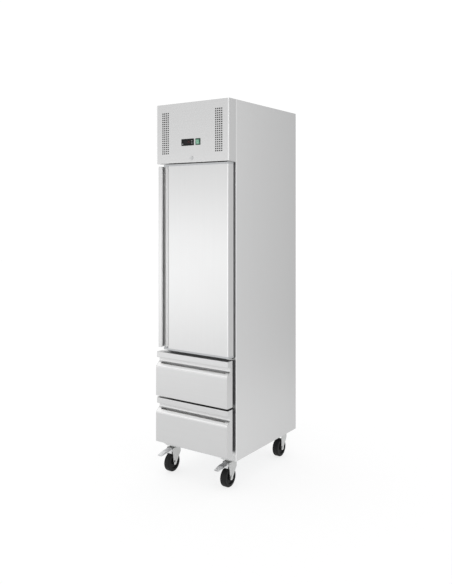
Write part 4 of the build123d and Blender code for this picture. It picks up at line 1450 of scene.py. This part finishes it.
@dataclass
class Interior:
    """Liner, mullions, shelves, coil cover and lamp."""

    cap_length: float = 0.012
    cap_grow: float = 0.0012
    guard: WireGuard = WireGuard(0.064)
    guard_gap: float = 0.003
    corner_inset: float = 0.016

    def coil_guard(self) -> None:
        """Wire guard over the throat of the coil cover."""
        fan = middle("evaporator_fan")
        centre = (fan.x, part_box("evaporator_cover")[0].y - self.guard_gap, fan.z)
        guard = self.guard.build("coil_fan_guard", centre, -0.002)
        guard.fix("cabinet", "zinc_plated_steel", WIRE_STEEL)

    def cover_screws(self) -> None:
        """Four screws at the corners of the coil cover's front."""
        low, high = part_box("evaporator_cover")
        edge = self.corner_inset
        places = [Vector((x, low.y, z)) for x in (low.x + edge, high.x - edge)
                  for z in (low.z + edge, high.z - edge)]
        screws = spread(CrossScrew(0.004, 0.0016), "cover_screws", places, FRONT)
        screws.fix("cabinet", "zinc_plated_steel", PLATED)

    def lamp_caps(self) -> None:
        """Moulded end caps of the lamp."""
        low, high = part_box("led_lamp")
        near = (low.x - self.cap_length * 0.4, low.y - self.cap_grow, low.z - self.cap_grow)
        far = (low.x + self.cap_length * 0.6, high.y + self.cap_grow, high.z)
        cap = Workpiece.block("lamp_caps", near, far)
        cap.facing(LEFT).inset(0.003, 0.0008)
        cap.soften(0.0018, 3)
        mirror = Matrix.Translation((2 * middle("led_lamp").x, 0.0, 0.0)) @ MIRROR
        cap.with_others([cap.moved("far_cap", mirror)])
        cap.fix("cabinet", "white_plastic", LINER_WHITE)

    def build(self) -> None:
        """Dresses the inside and adds its small parts."""
        dress(LINER_SHEET, "inner_liner")
        dress(MULLION_GREY, "mullions")
        dress(WIRE_STEEL, "wire_shelves", "shelf_supports")
        dress(LINER_SHEET, "evaporator_cover")
        dress(FinPack("evaporator_fins", 0.150), "evaporator_coil")
        dress(BLACK_MOULDING, "evaporator_fan")
        dress(Lit("lamp_diffuser", (0.9, 0.9, 0.88), (1.0, 0.98, 0.94), 0.6), "led_lamp")
        self.coil_guard()
        self.cover_screws()
        self.lamp_caps()


@dataclass
class Seal:
    """Magnetic seal: a base in its groove, folded bellows and the bulb that holds the magnet."""

    node: str
    body: str
    bulb_step: float = 0.001
    fold: float = 0.0016

    def build(self) -> None:
        """Builds the seal as one ring and puts it in place of its node."""
        low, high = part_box(self.node)
        rise = high.y - low.y
        base = rise - 0.0126
        flank = [(0.0002, base), (self.bulb_step + self.fold, 0.0006), (0.0002, 0.0022),
                 (0.0012, 0.0012), (0.0002, 0.0016)]
        back = 0.0116 - sum(step[1] for step in flank[1:])
        crest = [(0.0006, back), (0.0008, 0.001), (0.0030, 0.0), (0.0004, -0.0006), (0.0022, 0.0),
                 (0.0004, 0.0006), (0.0030, 0.0), (0.0008, -0.001), (0.0006, -back)]
        down = [(step[0], -step[1]) for step in reversed(flank)]
        ring = Workpiece.frame(self.node + "_profile", low, high, 1.0, flank + crest + down)
        ring.soften(0.0005, 2)
        piece = ring.fix(self.body, "gasket_rubber", SEAL_RUBBER)
        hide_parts(self.node)


@dataclass
class Door:
    """The tall door with its recessed pull."""

    bead_inset: float = 0.034
    bead_width: float = 0.007
    bead_rise: float = 0.0007
    bead_seat: float = 0.0002
    face_side: float = 0.047
    face_bottom: float = 0.036
    face_top: float = 0.056
    bracket_deep: float = 0.003
    screw_level: float = 0.0045
    screw_inset: float = 0.008

    def liner_bead(self) -> None:
        """Raised bead that stiffens the white inner face."""
        low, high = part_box("door_liner")
        near = Vector((low.x + self.face_side + self.bead_inset, high.y - self.bead_seat,
                       low.z + self.face_bottom + self.bead_inset))
        far = Vector((high.x - self.face_side - self.bead_inset, high.y,
                      high.z - self.face_top - self.bead_inset))
        steps = [(self.bead_width * 0.3, self.bead_rise + self.bead_seat), (self.bead_width * 0.4, 0.0),
                 (self.bead_width * 0.3, -self.bead_rise - self.bead_seat)]
        bead = Workpiece.frame("liner_bead", near, far, 1.0, steps)
        bead.fix("door", "white_plastic", LINER_WHITE, 80.0)

    def hinge_screws(self) -> None:
        """Screws through the flange of the lower hinge."""
        low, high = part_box("hinge_brackets")
        front = high.y - self.bracket_deep
        level = low.z + self.screw_level
        places = [Vector((x, front, level)) for x in (low.x + self.screw_inset, high.x - self.screw_inset)]
        screws = spread(CrossScrew(0.0028, 0.0014), "hinge_screws", places, FRONT)
        screws.fix("cabinet", "zinc_plated_steel", PLATED)

    def build(self) -> None:
        """Dresses the door and adds its seal, bead and screws."""
        dress(DOOR_SHEET, "door_skin")
        dress(PULL_SHEET, "door_handle")
        dress(FOAM, "door_insulation")
        dress(LINER_WHITE, "door_liner")
        dress(CAP_GREY, "door_caps")
        dress(PLATED, "hinge_brackets")
        Seal("door_gasket", "door").build()
        self.liner_bead()
        self.hinge_screws()


@dataclass
class Drawer:
    """One drawer with its pull, pan and runners."""

    name: str
    slot_half: float = 0.213
    slot_centre: float = 0.060
    slot_tall: float = 0.009
    slot_back: float = 0.0448
    slot_front: float = 0.018
    slot_fit: float = 0.0002
    wall: float = 0.0004
    pan_wall: float = 0.0012
    pan_long: float = 0.56
    pan_gap: float = 0.012
    pan_low: float = 0.028
    pan_tall: float = 0.152
    rim: float = 0.005
    rim_grow: float = 0.0016
    rib_half: tuple[float, float] = (0.009, 0.23)
    rib_start: float = -0.12
    rib_steps: tuple[float, ...] = (0.08, 0.16, 0.24)

    def slot_channel(self) -> None:
        """Folded channel that lines the slot above the front."""
        low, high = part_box(self.name + "_front")
        level = high.z - self.slot_centre
        half, rise = self.slot_half - self.slot_fit, self.slot_tall / 2 - self.slot_fit / 2
        near = Vector((-half, low.y + self.slot_front, level - rise))
        far = Vector((half, low.y + self.slot_back, level + rise))
        channel = Workpiece.block(self.name + "_slot_channel", near, far)
        channel.facing(FRONT).inset(self.wall)
        channel.pull((0.0, far.y - near.y - self.wall, 0.0))
        channel.soften(0.0001, 1)
        channel.fix(self.name, "satin_stainless", SLOT_SHEET)

    def pan_box(self) -> tuple[Vector, Vector]:
        """Corners of the welded pan behind the front.

        Returns:
            The lowest and the highest corner.
        """
        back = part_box(self.name + "_frame")[1].y
        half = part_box(self.name + "_slides")[1].x - self.pan_gap
        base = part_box(self.name + "_front")[0].z + self.pan_low
        return Vector((-half, back - self.pan_long, base)), Vector((half, back, base + self.pan_tall))

    def pan_rim(self) -> None:
        """Rolled rim round the top of the pan."""
        low, high = self.pan_box()
        grow = self.rim_grow
        near = Vector((low.x - grow, low.y + 0.0004, high.z - self.rim))
        far = Vector((high.x + grow, high.y - 0.0002, high.z - self.rim))
        width = 2 * grow + self.pan_wall
        steps = [(0.0001, self.rim * 0.62), (width * 0.16, self.rim * 0.32), (width * 0.22, self.rim * 0.16),
                 (width * 0.24, 0.0), (width * 0.22, -self.rim * 0.16), (width * 0.16, -self.rim * 0.32),
                 (0.0001, -self.rim * 0.62)]
        ring = Workpiece.tray_frame(self.name + "_rim", near, far, steps)
        ring.fix(self.name, "satin_stainless", LEVEL_SHEET, 60.0)

    def pan_ribs(self) -> None:
        """Long ribs pressed into the floor of the pan."""
        low, high = self.pan_box()
        floor = low.z + self.pan_wall
        start = Vector((self.rib_start, (low.y + high.y) / 2, floor))
        rib = Workpiece.block(self.name + "_ribs", start - Vector((*self.rib_half, 0.0004)),
                              start + Vector((*self.rib_half, 0.0006)))
        rib.facing(UP).inset(0.004, 0.0014)
        rib.soften(0.0008, 2)
        others = [start + Vector((step, 0.0, 0.0)) for step in self.rib_steps]
        repeat(rib, start, others).fix(self.name, "satin_stainless", LEVEL_SHEET)

    def runner_stops(self) -> None:
        """Moulded stops at the front of both rails."""
        low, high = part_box(self.name + "_slides")
        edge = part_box("runner_rails")[1].x
        stop = Workpiece.block(self.name + "_stops", (edge - 0.0105, low.y - 0.0045, high.z + 0.0002),
                               (edge - 0.0004, low.y + 0.008, high.z + 0.0016))
        stop.facing(FRONT).inset(0.0002).pull((0.0, -0.0008, 0.0))
        stop.swell((0.8, 1.0, 0.7), (edge - 0.0054, low.y, high.z + 0.0009))
        stop.soften(0.0004, 2)
        stop.with_others([stop.moved("other_side", MIRROR)])
        stop.fix("cabinet", "black_plastic", BLACK_MOULDING)

    def build(self) -> None:
        """Dresses the drawer and adds its small parts."""
        front = self.name + "_front"
        dress(BrushedSheet(front + "_sheet", Grain.LEVEL, rooms=drawer_light_and_shade_rooms(front)), front)
        dress(LEVEL_SHEET, self.name + "_frame")
        dress(FOAM, self.name + "_insulation")
        dress(ZINC_SHEET, self.name + "_slides")
        Seal(self.name + "_gasket", self.name).build()
        self.slot_channel()
        self.pan_rim()
        self.pan_ribs()
        self.runner_stops()


class Segment(Enum):
    """The seven bars of one figure, each by its middle in halves of the figure's width and height."""

    TOP = (0.0, 1.0)
    UPPER_RIGHT = (1.0, 0.5)
    LOWER_RIGHT = (1.0, -0.5)
    BOTTOM = (0.0, -1.0)
    LOWER_LEFT = (-1.0, -0.5)
    UPPER_LEFT = (-1.0, 0.5)
    MIDDLE = (0.0, 0.0)


FIGURE_TWO = (Segment.TOP, Segment.UPPER_RIGHT, Segment.MIDDLE, Segment.LOWER_LEFT, Segment.BOTTOM)
FIGURE_FIVE = (Segment.TOP, Segment.UPPER_LEFT, Segment.MIDDLE, Segment.LOWER_RIGHT, Segment.BOTTOM)


@dataclass
class Controller:
    """Temperature controller: case, window, lit figures and keys."""

    pane_size: tuple[float, float] = (0.0416, 0.0176)
    figure: tuple[float, float] = (0.0056, 0.0098)
    stroke: float = 0.0012
    bar_gap: float = 0.0007
    figures_level: float = 0.0008
    figure_places: tuple[float, float] = (0.0035, 0.0115)
    lamp_across: float = 0.0178
    lamp_levels: tuple[float, float] = (0.004, -0.0005)

    def window(self, front: float, centre: Vector) -> None:
        """Tinted pane set into the case.

        Args:
            front: The case's front, along Y.
            centre: Middle of the window.
        """
        half = Vector((self.pane_size[0] / 2, 0.0, self.pane_size[1] / 2))
        deep = Vector((0.0, 0.0009, 0.0))
        base = Vector((centre.x, front, centre.z))
        pane = Workpiece.block("display_window", base - half + Vector((0.0, 0.0002, 0.0)), base + half + deep)
        pane.facing(FRONT).inset(0.0008, 0.0)
        pane.shift((0.0, -0.0002, 0.0))
        pane.soften(0.0002, 2)
        pane.fix("cabinet", "black_plastic", WINDOW)

    def figures(self, front: float, centre: Vector) -> None:
        """Lit figures behind the pane's right half, and the two signal lamps beside them.

        Args:
            front: The case's front, along Y.
            centre: Middle of the window.
        """
        half_wide, half_tall = self.figure[0] / 2, self.figure[1] / 2
        plane = front - 0.00012
        start = Vector((0.0, plane, 0.0))
        reach = half_wide - self.bar_gap
        level = Workpiece.block("lit_figures", (-reach, plane, -self.stroke / 2),
                                (reach, plane + 0.0002, self.stroke / 2))
        for side in (-1.0, 1.0):
            level.facing((side, 0.0, 0.0)).swell((1.0, 1.0, 0.25), (side * half_wide, plane, 0.0))
        parts = []
        base = centre.z + self.figures_level
        for number, (across, bars) in enumerate(zip(self.figure_places, (FIGURE_TWO, FIGURE_FIVE))):
            for bar in bars:
                right, up = bar.value
                place = Vector((centre.x + across + right * half_wide, 0.0, base + up * half_tall))
                turn = Matrix.Rotation(math.pi / 2, 4, "Y") if right else Matrix.Identity(4)
                move = Matrix.Translation(place) @ about(start, turn)
                parts.append(level.moved(f"bar_{number}_{bar.name.lower()}", move))
        for number, up in enumerate(self.lamp_levels):
            dot = Vector((centre.x + self.lamp_across, plane, centre.z + up))
            lamp = Workpiece.bar(f"dot_{number}", dot, dot + Vector((0.0, 0.0002, 0.0)), 0.0008, 12)
            lamp.facing(FRONT).inset(0.0003)
            parts.append(lamp)
        first = parts.pop(0)
        first.item.name = "lit_figures"
        bpy.data.objects.remove(level.item)
        first.with_others(parts).fix("cabinet", "black_plastic", FIGURE_RED)

    def key_marks(self) -> None:
        """An arrow on each of two keys and a square on the third."""
        for key, turn in (("key_up", 0.0), ("key_down", math.pi)):
            seat = front_middle(key)
            tip, root = seat - Vector((0.0, 0.00012, 0.0)), seat + Vector((0.0, 0.0003, 0.0))
            mark = Workpiece.bar(key + "_arrow", tip, root, 0.0018, 3)
            mark.facing(FRONT).inset(0.0003)
            lean = self.upright_turn(mark, seat)
            mark.spin_round(seat, lean + turn)
            mark.fix(key, "white_plastic", MARK_WHITE)
        reach = Vector((0.0016, 0.0, 0.0013))
        seat = front_middle("key_set")
        steps = [(0.0001, 0.00016), (0.0005, 0.0), (0.0001, -0.00016)]
        square = Workpiece.frame("key_set_square", seat - reach, seat + reach, -1.0, steps)
        square.fix("key_set", "white_plastic", MARK_WHITE)

    def upright_turn(self, mark: Workpiece, seat: Vector) -> float:
        """How far a three-sided mark has to turn about Y for one corner to point up."""
        corner = max((v.co for v in mark.item.data.vertices), key=lambda co: (co - seat).length)
        return math.atan2((corner - seat).x, (corner - seat).z)

    def build(self) -> None:
        """Dresses the controller and adds its window, figures and marks."""
        low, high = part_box("controller_case")
        centre = (low + high) / 2
        dress(CASE_BLACK, "controller_case")
        dress(KEY_GREY, "key_set", "key_up", "key_down")
        self.window(low.y, centre)
        self.figures(low.y, centre)
        self.key_marks()


@dataclass
class Switch:
    """Green rocker in its dark bezel."""

    tilt: float = 7.0
    pivot_depth: float = 0.004
    face: float = 0.005

    def marks(self) -> None:
        """A stroke and a ring on the two halves of the rocker."""
        bezel = middle("rocker_bezel")
        pivot = Vector((bezel.x, HEAD_FRONT + self.pivot_depth, bezel.z))
        lean = about(pivot, Matrix.Rotation(math.radians(self.tilt), 4, "X"))
        face = HEAD_FRONT - self.face
        stroke = Workpiece.block("rocker_marks", (bezel.x - 0.0005, face - 0.00012, bezel.z + 0.0035),
                                 (bezel.x + 0.0005, face + 0.0003, bezel.z + 0.0085))
        stroke.soften(0.0002, 2)
        seat = Vector((bezel.x, face, bezel.z - 0.006))
        ring = Workpiece.ring("ring", seat, Axis.Y, 0.0022, 0.0004, 28, 6)
        joined = stroke.with_others([ring])
        joined.item.data.transform(lean)
        joined.fix("rocker", "white_plastic", MARK_WHITE)

    def build(self) -> None:
        """Dresses the switch and marks it."""
        dress(BEZEL_GREEN, "rocker_bezel")
        dress(ROCKER_GREEN, "rocker")
        self.marks()


@dataclass
class ControlHead:
    """Head cover with the vents, the controller, the switch and the lock."""

    screen_half: tuple[float, float] = (0.026, 0.119)
    skin: float = 0.0012

    def vent_screens(self) -> None:
        """Dust screens behind the two fields of holes, near black as painted shade behind the holes."""
        low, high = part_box("head_panel")
        wide, tall = self.screen_half
        centre = Vector((high.x - VENT_INSET, low.y + self.skin + 0.0002, low.z + VENT_LEVEL))
        screen = Workpiece.block("vent_screens", centre - Vector((wide, 0.0, tall)),
                                 centre + Vector((wide, 0.003, tall)))
        screen.facing(BACK).inset(0.004, -0.0012)
        screen.soften(0.0006, 2)
        screen.with_others([screen.moved("left_screen", MIRROR)])
        screen.fix("cabinet", "black_plastic", DUST_SCREEN)

    def lock(self) -> None:
        """Dresses the lock and puts a black block in its keyway as painted shade."""
        dress(LOCK_SATIN, "lock_housing", "lock_cylinder")
        low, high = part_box("lock_housing")
        centre = (low + high) / 2
        # The black block inside the keyway stands in for its shade.
        near = Vector((centre.x - 0.0007, low.y + 0.0014, centre.z - 0.0034))
        keyway = Workpiece.block("keyway", near, near + Vector((0.0014, 0.0024, 0.0068)))
        keyway.facing(FRONT).inset(0.0002, -0.0008)
        keyway.fix("lock", "black_plastic", BLACK_MOULDING)

    def build(self) -> None:
        """Dresses the head and adds what shows on it."""
        dress(HEAD_SHEET, "head_panel")
        self.vent_screens()
        Controller().build()
        Switch().build()
        self.lock()


@dataclass
class Machinery:
    """Compressor, condenser, fan, pipes and electrics behind the head."""

    weld: float = 0.0016
    pin_places: tuple[tuple[float, float], ...] = ((-0.007, -0.002), (0.0, 0.002), (0.007, -0.002))
    pin_half: tuple[float, float] = (0.001, 0.002)
    pin_sleeve: float = 0.0003
    pin_ends: tuple[float, float] = (0.0125, 0.003)

    def weld_seam(self) -> None:
        """Weld bead round the compressor's shell."""
        low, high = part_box("compressor")
        radius = (high.y - low.y - 0.026) / 2
        centre = (high.x - 0.014 - radius, high.y - radius, (low.z + high.z) / 2)
        seam = Workpiece.ring("compressor_weld", centre, Axis.Z, radius, self.weld, 64, 8)
        seam.modify("SUBSURF", levels=1)
        seam.fix("cabinet", "black_enamel", ENAMEL)

    def inlet_pins(self) -> None:
        """Plated sleeves on the pins of the mains inlet."""
        low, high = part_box("power_inlet")
        centre = (low + high) / 2
        parts = []
        wide, tall = (half + self.pin_sleeve for half in self.pin_half)
        for across, up in self.pin_places:
            near = Vector((centre.x + across - wide, high.y - self.pin_ends[0], centre.z + up - tall))
            far = Vector((centre.x + across + wide, high.y - self.pin_ends[1], centre.z + up + tall))
            pin = Workpiece.block("inlet_pins", near, far)
            pin.facing(BACK).inset(0.0004, 0.0004)
            pin.soften(0.0003, 2)
            parts.append(pin)
        parts[0].with_others(parts[1:]).fix("cabinet", "lock_chrome", CHROME)

    def box_lid(self) -> None:
        """Lid of the electrical box, with a raised panel."""
        low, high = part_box("electrical_box")
        near = Vector((low.x + 0.008, low.y + 0.016, high.z))
        far = Vector((high.x - 0.008, high.y - 0.008, high.z + 0.0022))
        lid = Workpiece.block("box_lid", near, far)
        lid.facing(UP).inset(0.004, 0.001)
        lid.soften(0.001, 2)
        lid.fix("cabinet", "box_plastic", BOX_IVORY)

    def build(self) -> None:
        """Dresses the machinery and adds what shows through the vents."""
        dress(ENAMEL, "compressor")
        dress(FinPack("condenser_fins", 0.165), "condenser")
        dress(COPPER, "refrigerant_pipes")
        dress(BLACK_MOULDING, "condenser_fan", "power_inlet")
        dress(BOX_IVORY, "electrical_box")
        self.weld_seam()
        self.inlet_pins()
        self.box_lid()


@dataclass
class Caster:
    """One swivel caster, braked at the front."""

    place: str
    plate_half: tuple[float, float] = (0.0425, 0.044)
    bolt_inset: float = 0.009
    plate_bottom: float = 0.136
    trail: float = 0.041
    race: tuple[float, float] = (0.0302, 0.0013)
    race_drop: float = 0.0036
    washer: float = 0.0112
    washer_sunk: float = 0.0058
    washer_thick: float = 0.0012
    pedal_slope: float = 8.0
    bolt: HexBolt = HexBolt()

    @property
    def turning(self) -> str:
        """The body of the fork."""
        return "caster_" + self.place

    def centre(self) -> Vector:
        """Middle of the wheel."""
        return middle("caster_wheel_" + self.place)

    def plate_bolts(self) -> None:
        """Four bolts that hold the plate to the base."""
        wheel = self.centre()
        pivot = Vector((wheel.x, wheel.y + self.trail, self.plate_bottom))
        wide, deep = (size - self.bolt_inset for size in self.plate_half)
        places = [pivot + Vector((x, y, 0.0)) for x in (-wide, wide) for y in (-deep, deep)]
        bolts = spread(self.bolt, "plate_bolts_" + self.place, places, DOWN)
        bolts.fix("cabinet", "zinc_plated_steel", PLATED)

    def race_ring(self) -> None:
        """Rolled lip of the ball race, between plate and fork."""
        wheel = self.centre()
        centre = Vector((wheel.x, wheel.y + self.trail, self.plate_bottom - self.race_drop))
        ring = Workpiece.ring("race_" + self.place, centre, Axis.Z, *self.race, 56, 10)
        ring.fix("cabinet", "zinc_plated_steel", BRIGHT_PLATING)

    def axle_washers(self) -> None:
        """Washers on both ends of the axle."""
        low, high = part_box("caster_fork_" + self.place)
        wheel = self.centre()
        washers = []
        for x, way in ((low.x, -1.0), (high.x, 1.0)):
            inner = Vector((x, wheel.y, wheel.z)) - Vector((way * self.washer_sunk, 0.0, 0.0))
            outer = inner + Vector((way * self.washer_thick, 0.0, 0.0))
            washers.append(Workpiece.bar("axle_washer", inner, outer, self.washer, 28).soften(0.0004, 1))
        washers[0].item.name = "axle_washers_" + self.place
        washers[0].with_others(washers[1:]).fix(self.turning, "zinc_plated_steel", BRIGHT_PLATING)

    def tread_lines(self) -> None:
        """Raised moulding lines round the tread, and a ring on each face of the wheel."""
        wheel = self.centre()
        rings = []
        for offset, radius, wire, turns in ((0.0095, 0.0494, 0.0005, 72), (0.0168, 0.0355, 0.0009, 56)):
            for side in (-1.0, 1.0):
                place = (wheel.x + side * offset, wheel.y, wheel.z)
                rings.append(Workpiece.ring("tread", place, Axis.X, radius, wire, turns, 6))
        rings[0].item.name = "tread_lines_" + self.place
        rings[0].with_others(rings[1:]).fix("wheel_" + self.place, "wheel_rubber", TYRE)

    def pedal_ribs(self) -> None:
        """Pressed steel pad on the pedal, with ribs across it."""
        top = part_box("brake_pedal_" + self.place)[1].z
        wheel = self.centre()
        hinge = Vector((wheel.x, wheel.y - 0.009, top - 0.0008))
        slope = Matrix.Translation(hinge) @ Matrix.Rotation(math.radians(self.pedal_slope), 4, "X")
        pad = Workpiece.block("pedal_pad_" + self.place, (-0.014, -0.094, -0.0006), (0.014, -0.052, 0.0009))
        pad.facing(UP).inset(0.002, 0.0002)
        pad.soften(0.0005, 2)
        rib = Workpiece.block("rib", (-0.0125, -0.0905, 0.0005), (0.0125, -0.0880, 0.0017))
        rib.facing(UP).swell((0.96, 0.5, 1.0), (0.0, -0.08925, 0.0017))
        others = [rib.moved("rib", Matrix.Translation((0.0, 0.0068 * step, 0.0))) for step in range(1, 6)]
        pad.with_others([rib] + others)
        pad.item.data.transform(slope)
        pad.fix("pedal_" + self.place, "zinc_plated_steel", PAD_STEEL)

    def build(self) -> None:
        """Dresses the caster and adds its fittings."""
        dress(PLATED, "caster_fork_" + self.place)
        dress(TYRE, "caster_wheel_" + self.place)
        self.plate_bolts()
        self.race_ring()
        self.axle_washers()
        self.tread_lines()
        if self.place.startswith("front"):
            dress(PEDAL_STEEL, "brake_pedal_" + self.place)
            self.pedal_ribs()


def main() -> None:
    """Builds every sub-assembly in order."""
    logging.basicConfig(level=logging.INFO, format="%(message)s")
    Studio().build()
    Shell().build()
    Interior().build()
    Door().build()
    for name in ("upper_drawer", "lower_drawer"):
        Drawer(name).build()
    dress(ZINC_SHEET, "runner_rails")
    ControlHead().build()
    Machinery().build()
    for place in ("front_left", "front_right", "rear_left", "rear_right"):
        Caster(place).build()
    dress(PLATED, "caster_plates")


if __name__ == "__main__":
    main()
